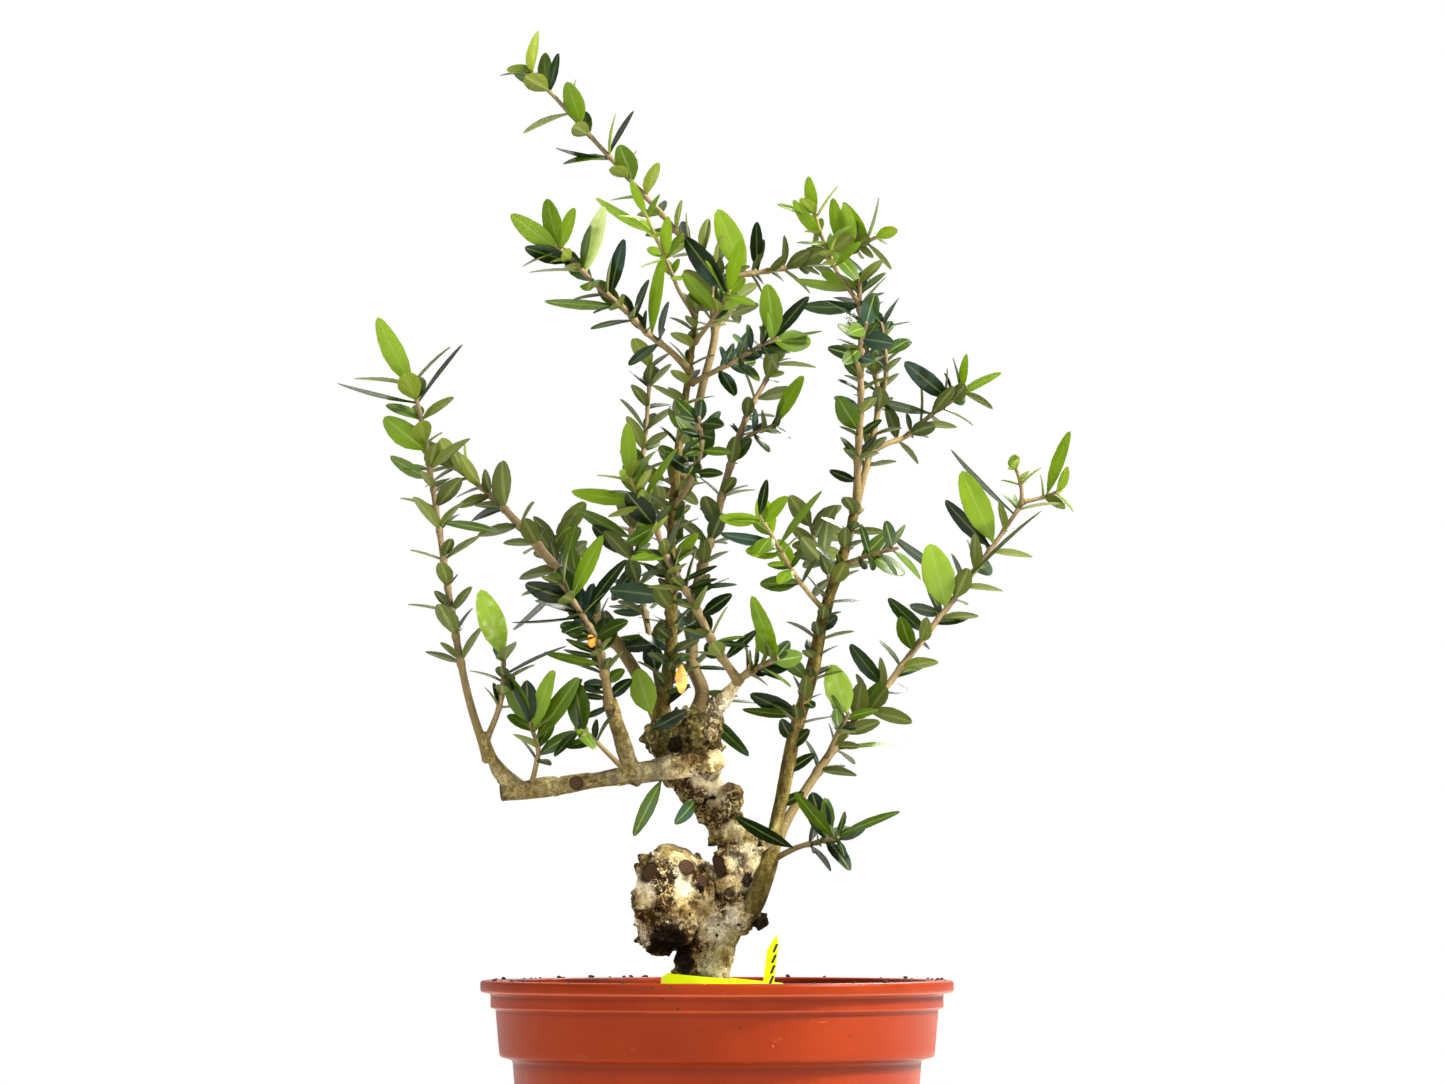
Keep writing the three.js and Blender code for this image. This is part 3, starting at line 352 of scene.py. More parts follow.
class Finish:
    """A material with a Principled shader, and the nodes that feed it."""

    def __init__(self, name, **constants):
        self.material = bpy.data.materials.new(name)
        self.material.use_nodes = True
        self.tree = self.material.node_tree
        self.shader = self.tree.nodes["Principled BSDF"]
        self.output = self.tree.nodes["Material Output"]
        for socket, value in constants.items():
            self.shader.inputs[socket.replace("_", " ")].default_value = value

    def node(self, kind, settings=None, values=None, output=0):
        """One output of a node of that kind, given its settings and the values or links of its sockets."""
        made = self.tree.nodes.new("ShaderNode" + kind)
        for key, setting in (settings or {}).items():
            if key == "stops":
                self.set_stops(made.color_ramp, setting)
            else:
                setattr(made, key, setting)
        for key, value in (values or {}).items():
            if isinstance(value, Value):
                self.tree.links.new(value.socket, made.inputs[key])
            else:
                made.inputs[key].default_value = value
        return Value(self, made.outputs[output])

    @staticmethod
    def set_stops(ramp, stops):
        while len(ramp.elements) < len(stops):
            ramp.elements.new(0.5)
        for element, (place, colour) in zip(ramp.elements, stops):
            element.position, element.color = place, (*colour, 1.0)

    def place(self, output="Object"):
        return self.node("TexCoord", output=output)

    def near_level(self, level, reach):
        """1 at that height, falling to 0 at reach above and below it."""
        height = self.node("SeparateXYZ", None, {"Vector": self.place()}, output=2)
        return 1 - ((height - level).math("ABSOLUTE") / reach).above(0.0, 1.0)

    def stretched(self, scale):
        """Object coordinates scaled by (x, y, z)."""
        return self.node("Mapping", None, {"Vector": self.place(), "Scale": scale})

    def noise(self, scale, detail=3.0, roughness=0.55, at=None, distortion=0.0):
        return self.node("TexNoise", None, {"Vector": at or self.place(), "Scale": scale, "Detail": detail,
                                            "Roughness": roughness, "Distortion": distortion})

    def cells(self, scale):
        """Distance to the middle of the nearest of many scattered cells."""
        return self.node("TexVoronoi", None, {"Vector": self.place(), "Scale": scale})

    def attribute(self, name, output="Fac"):
        return self.node("Attribute", {"attribute_name": name}, output=output)

    def ramp(self, value, stops):
        return self.node("ValToRGB", {"stops": stops}, {"Fac": value})

    def blend(self, factor, low, high):
        """Colour low where factor is 0, high where it is 1."""
        mixed = {6: low if isinstance(low, Value) else (*low, 1.0),
                 7: high if isinstance(high, Value) else (*high, 1.0), 0: factor}
        return self.node("Mix", {"data_type": "RGBA"}, mixed, output=2)

    def bump(self, height, depth):
        """Sends a height from 0 to 1 to the surface's normal, as relief of that depth in metres."""
        self.feed(Normal=self.node("Bump", None, {"Height": height, "Distance": depth}))

    def feed(self, **sockets):
        for socket, value in sockets.items():
            self.tree.links.new(value.socket, self.shader.inputs[socket.replace("_", " ")])


def linear(red, green, blue):
    """A screen colour, 0 to 255 each, as the light it stands for."""
    shares = (red / 255, green / 255, blue / 255)
    return tuple(((c + 0.055) / 1.055) ** 2.4 if c > 0.04 else c / 12.92 for c in shares)


# --------------------------------------------------------------------------------------------------
# Finishes
# --------------------------------------------------------------------------------------------------


def pot_plastic():
    """Terracotta moulded plastic: faint mottling, pale scuffs and dust, fine scratches round the pot, painted
    shade under the rim, the collar and the band, and painted highlights along the lower lips of the rim and
    the collar.
    """
    finish = Finish("pot_plastic", Roughness=0.42, Specular_IOR_Level=0.1)
    mottle = finish.noise(22, 4)
    colour = finish.blend(mottle.above(0.3, 0.72), linear(116, 34, 2), linear(128, 42, 4))
    scuffs = finish.noise(70, 6, 0.7, at=finish.stretched((1, 1, 3))).above(0.62, 0.76)
    patches = finish.noise(16, 3).above(0.42, 0.64)
    scratch = finish.noise(120, 5, 0.7, at=finish.stretched((0.5, 0.5, 9))).above(0.66, 0.74)
    dust = scuffs * patches * 0.45 + scratch * 0.18
    colour = finish.blend(dust * 1.7, colour, linear(196, 104, 66))
    # Painted shade: dark lines just under the rim and the collar, and a wider darkening under the band, where
    # shade falls below each step.
    shade_below_rim = finish.near_level(RIM_BOTTOM - 0.0014, 0.0016)
    shade_below_collar = finish.near_level(COLLAR_BOTTOM - 0.001, 0.0014)
    painted_shade_under_steps = (shade_below_rim + shade_below_collar) * 0.8 + finish.near_level(BAND_BOTTOM - 0.004, 0.004)
    colour = finish.blend(painted_shade_under_steps * 0.5, colour, linear(78, 22, 4))
    # Painted highlights: pale lines along the lower lips of the rim and the collar, where light catches their
    # edges.
    rim_lip_highlight = finish.near_level(RIM_BOTTOM + 0.0004, 0.0007)
    collar_lip_highlight = finish.near_level(COLLAR_BOTTOM + 0.0006, 0.0006)
    colour = finish.blend((rim_lip_highlight + collar_lip_highlight * 0.6) * 0.3, colour, linear(226, 124, 84))
    grime = (1 - finish.cells(150).above(0.05, 0.12)) * finish.noise(40, 2).above(0.5, 0.56)
    colour = finish.blend(grime * 0.9, colour, linear(60, 30, 16))
    grit = (1 - finish.cells(97).above(0.03, 0.06)) * finish.noise(31, 2).above(0.52, 0.58)
    colour = finish.blend(grit * 0.8, colour, linear(230, 205, 190))
    finish.feed(Base_Color=colour, Roughness=0.36 + mottle * 0.12 + dust * 0.5)
    finish.bump(finish.noise(1400, 2) * 0.3 + finish.noise(60, 2), 0.00008)
    return finish.material


def potting_mix():
    """Dark crumbly compost with paler fibres and a few grains of grit."""
    finish = Finish("potting_mix", Roughness=0.95)
    crumbs = finish.noise(260, 6, 0.7)
    colour = finish.ramp(crumbs, [
        (0.3, linear(22, 15, 11)), (0.55, linear(52, 36, 25)), (0.75, linear(96, 72, 50))])
    grit = 1 - finish.cells(300).above(0.08, 0.12)
    colour = finish.blend(grit * 0.5, colour, linear(150, 134, 108))
    finish.feed(Base_Color=colour)
    finish.bump(crumbs, 0.0012)
    return finish.material


def old_bark():
    """Old olive bark: cream plates, brown crust, pits and hollows painted near black as shade, moss, and dark
    sawn scars with rings.

    Attribute age runs from 0, brown-olive bough, to 1, cream old wood. Crust is 1 where it is rough and
    scabby, moss is 1 where it is dark and damp, the hollow shade is 1 in pits and hollows, where the bark is
    painted near black as shade, and scar is 1 on a cut, whose distance from its middle is ring.
    """
    finish = Finish("old_bark", Roughness=0.85, Specular_IOR_Level=0.12)
    age, crust, moss, hollow = (finish.attribute(each) for each in ("age", "crust", "moss", "hollow"))
    strands = finish.noise(190, 6, 0.7, at=finish.stretched((1, 1, 0.35)))
    flakes = finish.noise(320, 8, 0.74, distortion=1.0)
    broad = finish.noise(70, 3, 0.6)
    fine = finish.noise(1100, 4, 0.7)
    young = finish.ramp(strands * 0.7 + fine * 0.3, [
        (0.36, linear(44, 35, 12)), (0.46, linear(84, 73, 30)), (0.55, linear(118, 105, 52)),
        (0.67, linear(178, 166, 118))])
    plates = finish.ramp(broad * 0.5 + fine * 0.25 + strands * 0.25, [
        (0.37, linear(86, 64, 28)), (0.43, linear(152, 127, 74)), (0.48, linear(214, 195, 144)),
        (0.55, linear(248, 238, 206))])
    rough = finish.ramp(broad * 0.35 + flakes * 0.65, [
        (0.41, linear(36, 23, 8)), (0.465, linear(88, 66, 27)), (0.505, linear(152, 126, 72)),
        (0.54, linear(218, 198, 144)), (0.59, linear(248, 238, 202))])
    colour = finish.blend(age, young, finish.blend(crust, plates, rough))
    colour = finish.blend(fine.above(0.56, 0.63) * 0.6, colour, linear(76, 54, 24))
    scabs = (finish.noise(450, 5, 0.7, distortion=0.8) + broad * 0.35).above(0.662, 0.70)
    colour = finish.blend(scabs * (crust * 0.6 + 0.4), colour, linear(52, 33, 10))
    colour = finish.blend(moss * 0.85, colour, finish.ramp(flakes, [
        (0.40, linear(30, 26, 10)), (0.52, linear(84, 74, 32)), (0.59, linear(132, 122, 66)),
        (0.66, linear(216, 206, 170))]))
    # Painted shade: where the hollow shade is high the bark turns near black, as shade in pits and hollows.
    colour = finish.blend((hollow + flakes * 1.4).above(1.0, 1.14), colour,
                          finish.blend(fine.above(0.4, 0.65), linear(16, 11, 5), linear(52, 38, 20)))
    rings = finish.node("Math", {"operation": "SINE"}, {0: finish.attribute("ring") * 34 + flakes * 6})
    cut = finish.blend(rings * 0.5 + 0.5, linear(34, 23, 13), linear(92, 70, 46))
    cut = finish.blend(finish.attribute("ring").above(0.74, 0.9) * 0.8, cut, linear(24, 16, 9))
    colour = finish.blend(finish.attribute("scar"), colour, cut)
    finish.feed(Base_Color=colour)
    finish.bump(flakes * (crust * 0.8 + 0.2) + fine * 0.25 + strands * 0.4, 0.0016)
    return finish.material


def young_bark():
    """Smooth bark of the stems: brown-grey low down, mauve-grey then yellow-green towards the tip."""
    finish = Finish("young_bark", Roughness=0.7, Specular_IOR_Level=0.25)
    along = finish.attribute("along")
    grain = finish.noise(900, 4, 0.65)
    colour = finish.ramp(along + (grain - 0.5) * 0.3, [
        (0.0, linear(104, 88, 48)), (0.3, linear(128, 110, 74)), (0.6, linear(124, 104, 78)),
        (0.8, linear(134, 124, 70)), (1.0, linear(146, 158, 60))])
    colour = finish.blend(finish.noise(260, 3).above(0.5, 0.7) * 0.5, colour, linear(92, 70, 42))
    lenticels = 1 - finish.cells(900).above(0.1, 0.2)
    colour = finish.blend(lenticels * 0.5, colour, linear(196, 180, 140))
    finish.feed(Base_Color=colour)
    finish.bump(grain, 0.0003)
    return finish.material


def leaf_skin(name, through, share):
    """Olive leaf: glossy above, matt grey-green below, a pale midrib, and some light passing through. Older
    upper faces carry a bluish tint, partly their own colour and partly a painted reflection of the sky.

    Attribute tone runs from 0, old and blue-green, to 1, young and lime; at its very top the leaf turns near
    white as painted sunlight. Attribute below is 1 on the underside, and rib is 1 on the midrib.
    """
    finish = Finish(name, Roughness=0.4, Specular_IOR_Level=0.24)
    tone, below, rib = (finish.attribute(each) for each in ("tone", "below", "rib"))
    cloud = finish.noise(240, 3)
    shift = tone + (cloud - 0.5) * 0.12
    # Painted light: the stops at the very top of tone turn a leaf near white, as sunlight burning it out.
    above = finish.ramp(shift, [
        (0.0, linear(4, 18, 6)), (0.3, linear(22, 43, 3)), (0.6, linear(78, 104, 8)),
        (0.85, linear(118, 145, 34)), (0.95, linear(136, 162, 54)), (1.0, linear(226, 236, 170))])
    under = finish.ramp(shift, [
        (0.0, linear(58, 70, 40)), (0.4, linear(98, 107, 42)), (0.75, linear(136, 148, 46)),
        (0.95, linear(160, 176, 66)), (1.0, linear(232, 240, 190))])
    # Partly the older leaves' own blue-grey, partly a painted reflection of the sky on their glossy upper
    # faces.
    bluish_tint_and_sheen = (finish.noise(38, 2).above(0.52, 0.6) * (1 - tone)).above(0.3, 0.9)
    above = finish.blend(bluish_tint_and_sheen * 0.75, above, linear(58, 84, 76))
    colour = finish.blend(below.above(0.34, 0.42), above, under)
    colour = finish.blend(rib.above(0.7, 0.95) * 0.3, colour, linear(176, 186, 112))
    finish.feed(Base_Color=colour, Roughness=0.26 + below * 0.34 + cloud * 0.1)
    finish.bump(finish.noise(1800, 2), 0.00006)
    glow = finish.tree.nodes.new("ShaderNodeBsdfTranslucent")
    glow.inputs["Color"].default_value = (*through, 1.0)
    mixed = finish.node("MixShader", None, {0: share, 1: Value(finish, finish.shader.outputs[0]),
                                           2: Value(finish, glow.outputs[0])})
    finish.tree.links.new(mixed.socket, finish.output.inputs["Surface"])
    return finish.material


def dying_leaf():
    """A leaf about to fall: orange with browner patches."""
    finish = Finish("dying_leaf", Roughness=0.5)
    colour = finish.blend(finish.noise(300, 3).above(0.4, 0.65), linear(238, 160, 30), linear(206, 112, 22))
    finish.feed(Base_Color=colour)
    finish.bump(finish.noise(1500, 2), 0.00006)
    return finish.material


def label_plastic():
    """Bright yellow-green plastic strap with faint handling marks, and a faint painted glow that keeps it
    bright.
    """
    # Painted light: a faint yellow-green glow, though the strap is no lamp.
    finish = Finish("label_plastic", Roughness=0.5, Specular_IOR_Level=0.1,
                    Emission_Color=(0.7, 0.9, 0.0, 1.0), Emission_Strength=0.3)
    smudge = finish.noise(180, 4)
    finish.feed(Base_Color=finish.blend(smudge.above(0.35, 0.7), linear(222, 240, 4), linear(236, 250, 12)),
                Roughness=0.38 + smudge * 0.2)
    finish.bump(finish.noise(900, 2), 0.00005)
    return finish.material


def label_ink():
    """Dull black print."""
    finish = Finish("label_ink", Roughness=0.6)
    worn = finish.noise(2500, 2).above(0.4, 0.6)
    finish.feed(Base_Color=finish.blend(worn, (0.01, 0.01, 0.01), (0.03, 0.03, 0.03)))
    return finish.material


# --------------------------------------------------------------------------------------------------
# Numbers and surfaces
# --------------------------------------------------------------------------------------------------


def metres(lengths):
    """Lengths listed in millimetres, as an array in metres."""
    return np.array(lengths) / 1000


def scatter(n):
    """A repeatable number from 0 to 1 for each n: the fraction of a large sine."""
    value = np.sin(np.asarray(n) * 12.9898) * 43758.5453
    return value - np.floor(value)


def roughness_field(points, size, seed=0.0):
    """Smooth noise from -1 to 1: random numbers at the corners of cubes of that size, blended between."""
    cell = points / size
    base = np.floor(cell)
    part = cell - base
    part = part * part * (3 - 2 * part)
    total = np.zeros(len(points))
    for corner in np.ndindex(2, 2, 2):
        weight = np.prod(np.where(corner, part, 1 - part), axis=1)
        at = base + corner
        total += weight * scatter(at @ np.array([1.0, 57.0, 113.0]) * 0.7 + seed)
    return 2 * total - 1


def curve(route, t):
    """Points and unit tangents at t, from 0 to 1, of the smooth curve through every point of a route.

    Each stretch is the cubic whose end slopes are half the step between the neighbouring points.
    """
    knots = np.array(route, float)
    knots = np.vstack([2 * knots[0] - knots[1], knots, 2 * knots[-1] - knots[-2]])
    place = np.clip(np.atleast_1d(t), 0, 1) * (len(route) - 1)
    low = np.minimum(place.astype(int), len(route) - 2)
    u = (place - low)[:, None]
    p0, p1, p2, p3 = (knots[low + k] for k in range(4))
    a, b, c = -p0 + 3 * p1 - 3 * p2 + p3, 2 * p0 - 5 * p1 + 4 * p2 - p3, p2 - p0
    point = 0.5 * (a * u**3 + b * u**2 + c * u + 2 * p1)
    slope = 0.5 * (3 * a * u**2 + 2 * b * u + c)
    return point, unit(slope)


def unit(vectors):
    return vectors / np.linalg.norm(vectors, axis=-1, keepdims=True)


def across(route):
    """The axis that a route runs across: depth, or height if it runs towards the front or the back."""
    run = unit(np.array(route[-1], float) - np.array(route[0], float))
    return np.array([0.0, 0.0, 1.0]) if abs(run[1]) > 0.75 else np.array([0.0, 1.0, 0.0])


def frames(route, t):
    """Points, tangents, sideways and depth directions along a route at t."""
    point, along = curve(route, t)
    side = unit(np.cross(along, across(route)))
    return point, along, side, unit(np.cross(side, along))


def blended(values, t):
    """Value of an evenly spaced list at t, with straight stretches between its entries."""
    return np.interp(np.asarray(t) * (len(values) - 1), np.arange(len(values)), values)


def length_of(route):
    return float(np.linalg.norm(np.diff(curve(route, np.linspace(0, 1, 60))[0], axis=0), axis=1).sum())


def piece(name, points, faces, material, node=None, smooth=True, attributes=None):
    """A mesh piece that rides on the pot, takes its finish from a slot, and stands for the CAD node named."""
    mesh = bpy.data.meshes.new(name)
    mesh.from_pydata(np.asarray(points).tolist(), [], faces)
    for key, values in (attributes or {}).items():
        mesh.attributes.new(key, "FLOAT", "POINT").data.foreach_set("value", np.asarray(values, np.float32))
    for each in material if isinstance(material, (list, tuple)) else [material]:
        mesh.materials.append(each)
    mesh.polygons.foreach_set("use_smooth", np.full(len(mesh.polygons), smooth))
    mesh.update()
    made = bpy.data.objects.new(name, mesh)
    bpy.context.scene.collection.objects.link(made)
    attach(made, "root")
    if node:
        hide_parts(node)
    return made


def grid_faces(rows, columns, start=0, wrap=True):
    """Quads of a grid of points laid row by row, with its columns joined into a ring if wrap is set."""
    row, column = np.meshgrid(np.arange(rows - 1), np.arange(columns if wrap else columns - 1), indexing="ij")
    after = (column + 1) % columns
    this, above = row * columns, (row + 1) * columns
    corners = [this + column, this + after, above + after, above + column]
    return (start + np.stack(corners, axis=-1).reshape(-1, 4)).tolist()


def capped_faces(rows, columns):
    """Quads between rings of points laid one after another, and triangles to a first and a last point."""
    after = [(k + 1) % columns for k in range(columns)]
    last = 1 + (rows - 1) * columns
    return (grid_faces(rows, columns, start=1) + [(0, 1 + after[k], 1 + k) for k in range(columns)]
            + [(last + k, last + after[k], last + columns) for k in range(columns)])


def tube(route, radii, rings, sides, lumps=0.0, seed=0.0):
    """A closed limb: circles of blended radius carried along a route, with a round cap at each end.

    A circle's radius also swells by `lumps` times smooth noise, so that old wood isn't evenly round.
    """
    t = np.linspace(0, 1, rings)
    point, along, side, depth = frames(route, t)
    angle = np.linspace(0, 2 * np.pi, sides, endpoint=False)
    radius = blended(radii, t)
    spokes = side[:, None] * np.cos(angle)[:, None] + depth[:, None] * np.sin(angle)[:, None]
    wall = point[:, None] + spokes * radius[:, None, None]
    if lumps:
        swell = roughness_field(wall.reshape(-1, 3), 0.011, seed).reshape(wall.shape[:2])
        wall = point[:, None] + spokes * (radius[:, None] * (1 + lumps * swell))[..., None]
    caps = []
    for end, way in ((0, -1), (-1, 1)):
        inner = point[end] + (wall[end] - point[end]) * 0.72 + way * along[end] * radius[end] * 0.45
        caps.append((inner, point[end] + way * along[end] * radius[end] * 0.62))
    (foot, foot_pole), (tip, tip_pole) = caps
    points = np.vstack([foot_pole[None], foot, wall.reshape(-1, 3), tip, tip_pole[None]])
    level = np.concatenate([[0], np.zeros(sides), np.repeat(t, sides), np.ones(sides), [1]])
    return points, capped_faces(rings + 2, sides), level


def joined(parts):
    """Several (points, faces, ...) parts as one, with each part's further arrays joined too."""
    points, faces, extras, start = [], [], [], 0
    for part in parts:
        points.append(part[0])
        faces += [tuple(corner + start for corner in face) for face in part[1]]
        extras.append(part[2])
        start += len(part[0])
    return np.vstack(points), faces, np.concatenate(extras)


# --------------------------------------------------------------------------------------------------
# Leaves and stems
# --------------------------------------------------------------------------------------------------

STATIONS = np.array([0.0, 0.07, 0.16, 0.32, 0.52, 0.72, 0.87, 0.96])
ACROSS = np.array([-1.0, -0.5, 0.0, 0.5, 1.0, 0.0])
UNDER = np.array([0.35, 0.0, 0.0, 0.0, 0.35, 1.0])
LEAF_THICKNESS = 0.0005
PETIOLE = 0.0005
SPLAY = 0.95
LAST_LEAF = 0.96
YOUNG_TONE = 0.62
# Share of leaves with a smaller one from the same bud, on most shoots and on the fuller ones.
TUFTS = 0.25
FULL = dict(left_front=0.95, left_rear=0.55, rear_left=0.75, rear_long=0.7, middle_front=0.8,
            middle_right=0.85, right_left=0.6, leader=0.45, centre_top=0.7, upper_right=0.6,
            right_right=0.6, front_right=0.5)


def half_width(u):
    """Half width of a leaf at u along it, as a share of its widest.

    A narrow stalk, then half a sine wave raised to a power that falls along the blade, so that it tapers
    gently at its foot and ends bluntly.
    """
    blade = np.clip((u - 0.05) / 0.95, 0, 1)
    return np.sin(np.pi * blade) ** (0.92 - 0.42 * blade)


def leaf_blades(leaves):
    """Closed thin leaves: a ring of six points across the blade at each station, and a point at the tip.

    Each ring is a shallow V with the midrib at the bottom, rolled down a little at its margins. The blade
    bends back by its bend and turns by its twist, both growing along the leaf.
    """
    foot, along, up = (np.array([leaf[key] for leaf in leaves]) for key in ("foot", "along", "up"))
    length, width, tone, bend, twist, sway = (
        np.array([leaf[key] for leaf in leaves])[:, None, None] for key in
        ("length", "width", "tone", "bend", "twist", "sway"))
    u = STATIONS[None, :, None]
    x = ACROSS[None, None, :]
    under = (UNDER > 0.5)[None, None, :]
    half = half_width(u) * width / 2 + PETIOLE * (1 - u)
    out = x * half
    fold = np.abs(x) * half * 0.30 - np.abs(x) ** 4 * half * 0.16
    body = np.where(under, -1.0, 1.0 - np.abs(x)) * LEAF_THICKNESS * np.clip(1.2 - u, 0.3, 1)
    rise = fold + body - bend * length * u**2
    drift = sway * length * u * u
    turn = twist * u
    sideways = out * np.cos(turn) - rise * np.sin(turn) + drift
    upward = out * np.sin(turn) + rise * np.cos(turn)
    cross = np.cross(along, up)
    rings = (foot[:, None, None] + along[:, None, None] * (length * u)[..., None]
             + cross[:, None, None] * sideways[..., None] + up[:, None, None] * upward[..., None])
    tip = foot + along * length[:, 0] + cross * (sway * length)[:, 0] - up * (bend * length)[:, 0]
    rows, columns = len(STATIONS), len(ACROSS)
    points = np.concatenate([rings.reshape(len(leaves), -1, 3), tip[:, None]], axis=1)
    one = grid_faces(rows, columns)
    last = (rows - 1) * columns
    one += [(last + k, last + (k + 1) % columns, last + columns) for k in range(columns)]
    one += [tuple(range(columns))[::-1]]
    size = points.shape[1]
    faces = [tuple(corner + i * size for corner in face) for i in range(len(leaves)) for face in one]
    below = np.append(np.tile(UNDER, rows), 0.35)
    rib = np.append(np.tile((ACROSS == 0).astype(float), rows), 1.0)
    marks = {"tone": np.repeat(tone.ravel(), size), "below": np.tile(below, len(leaves)),
             "rib": np.tile(rib, len(leaves))}
    return points.reshape(-1, 3), faces, marks


def square(vector, axis):
    """The part of vector square to axis, as a unit vector."""
    return unit(vector - axis * np.dot(vector, axis))


def aimed_leaf(foot, tip, width, facing, tone, n, bend=0.03, twist=0.4, sway=0.14):
    """A leaf from a foot to a tip, its upper face turned to the front by a share of 1, or edge on at 0."""
    way = tip - foot
    length = np.linalg.norm(way)
    way = way / length
    front = square(FRONT, way)
    up = unit(front * facing + np.cross(front, way) * math.sqrt(1 - facing * facing))
    return dict(foot=foot, along=way, up=up, length=length, width=width, tone=tone,
                bend=bend + 0.05 * scatter(n + 0.5), twist=(scatter(n + 0.4) - 0.5) * twist,
                sway=(scatter(n + 0.7) - 0.5) * sway)


def leaves_of(shoot, seed):
    """Every leaf of a shoot: opposite pairs, each a quarter turn on from the last, then the single leaves."""
    leaves = []
    for i in range(shoot["pairs"]):
        t = shoot["start"] + (1 - shoot["start"]) * (i + 0.5) / shoot["pairs"]
        point, along, side, depth = (each[0] for each in frames(shoot["route"], t))
        for half in range(2):
            n = seed * 100 + i * 2 + half
            angle = shoot["turn"] + (i % 2) * np.pi / 2 + half * np.pi + (scatter(n) - 0.5) * 0.7
            splay = SPLAY + (scatter(n + 0.3) - 0.5) * 0.5
            out = side * np.cos(angle) + depth * np.sin(angle)
            way = unit(along * np.cos(splay) + out * np.sin(splay))
            length = np.interp(t, (0, 1), shoot["size"]) * (0.8 + 0.4 * scatter(n + 0.6))
            roll = (scatter(n + 0.1) - 0.5) * 0.9
            up = square(along, way)
            up = up * np.cos(roll) + np.cross(way, up) * np.sin(roll)
            tone = np.interp(t, (0, 1), shoot["tone"]) + (scatter(n + 0.8) - 0.5) * 0.35
            width = length * (0.32 + 0.18 * scatter(n + 0.2))
            blade = dict(foot=point, along=way, up=up, length=length, width=width, tone=np.clip(tone, 0, 1),
                         bend=0.05 + 0.12 * scatter(n + 0.5), twist=(scatter(n + 0.4) - 0.5) * 0.5,
                         sway=(scatter(n + 0.7) - 0.5) * 0.12)
            leaves.append(blade)
            if scatter(n + 0.15) < shoot["tufts"]:
                swing = np.pi * (0.25 + 0.5 * scatter(n + 0.35))
                out = side * np.cos(angle + swing) + depth * np.sin(angle + swing)
                way = unit(along * np.cos(splay * 0.9) + out * np.sin(splay * 0.9))
                small = length * (0.55 + 0.3 * scatter(n + 0.45))
                leaves.append({**blade, "foot": point + along * 0.001, "along": way, "up": square(along, way),
                               "length": small, "width": small * 0.46, "tone": np.clip(tone - 0.1, 0, 1)})
    for k, (t, tip, width, facing, tone) in enumerate(shoot.get("leaves", ())):
        point = curve(shoot["route"], min(t, LAST_LEAF))[0][0]
        leaves.append(aimed_leaf(point, metres(tip), width / 1000, facing, tone, seed * 100 + 70 + k,
                                 bend=0.02, twist=0.3, sway=0.1))
    return leaves


def every_stem():
    """Points along every shoot and upright bough, close enough together to find the nearest one."""
    routes = [metres(limb["route"]) for limb in (*SHOOTS.values(), *BOUGHS.values())]
    return np.vstack([curve(route, np.linspace(0, 1, 120))[0] for route in routes])


def single_leaves(listed):
    """Leaves from a list of feet and tips. One listed without a depth is moved to the nearest stem."""
    stems, leaves = every_stem(), []
    for n, (foot, tip, width, facing, tone) in enumerate(listed):
        foot, tip = metres(foot), metres(tip)
        if len(foot) == 2:
            lean = np.hypot(*(tip - foot)) * (0.5 * scatter(n + 0.9) - 0.4)
            foot = stems[np.argmin(np.hypot(*(stems[:, [0, 2]] - foot).T))]
            tip = np.array([tip[0], foot[1] + lean, tip[1]])
        leaves.append(aimed_leaf(foot, tip, width / 1000, facing, tone, n))
    return leaves


def hang_leaves(name, leaves, skins, node=None):
    """A piece of leaves, the older ones in the first skin and the younger ones in the second."""
    points, faces, marks = leaf_blades(leaves)
    made = piece(name, points, faces, skins, node, attributes=marks)
    young = marks["tone"][[face[0] for face in faces]] > YOUNG_TONE
    made.data.polygons.foreach_set("material_index", young.astype(np.int32))
    made.data.set_sharp_from_angle(angle=math.radians(50))


def stem_girth(shoot):
    """Radii along a stem: it tapers, flares where it leaves its branch, and swells at each pair of leaves."""
    t = np.linspace(0, 1, max(12, int(length_of(shoot["route"]) / 0.0012)))
    radius = blended(shoot["girth"], t) * (1 + 0.55 * np.exp(-t / 0.035))
    for i in range(shoot["pairs"]):
        at = shoot["start"] + (1 - shoot["start"]) * (i + 0.5) / shoot["pairs"]
        radius *= 1 + 0.28 * np.exp(-(((t - at) * length_of(shoot["route"]) / 0.0011) ** 2))
    return radius


def grow_shoots():
    """A stem and a set of leaves for each shoot."""
    bark = young_bark()
    skins = [leaf_skin("leaf_green", linear(96, 130, 30), 0.22),
             leaf_skin("leaf_lime", linear(176, 200, 40), 0.4)]
    for seed, (name, listed) in enumerate(SHOOTS.items()):
        shoot = {**listed, **{key: metres(listed[key]) for key in ("route", "girth", "size")}}
        girth = stem_girth(shoot)
        points, faces, level = tube(shoot["route"], girth, len(girth), 10)
        age = np.interp(shoot["tone"][1], (0, 1), (0.3, 1.0))
        piece(name + "_stem", points, faces, bark, name, attributes={"along": level * age})
        leaves = leaves_of({**shoot, "tufts": FULL.get(name, TUFTS)}, seed)
        hang_leaves(name + "_leaves", leaves, skins, name)
    for seed, (name, foliage) in enumerate(BOUGH_FOLIAGE.items()):
        leaves = leaves_of({**foliage, "route": metres(BOUGHS[name]["route"]),
                            "size": metres(foliage["size"])}, 50 + seed)
        hang_leaves(name + "_leaves", leaves, skins)
    hang_leaves("crown_leaves", single_leaves(SINGLES), skins)
    hang_leaves("dying_leaves", single_leaves(DYING), [dying_leaf()])


# --------------------------------------------------------------------------------------------------
# Old wood
# --------------------------------------------------------------------------------------------------

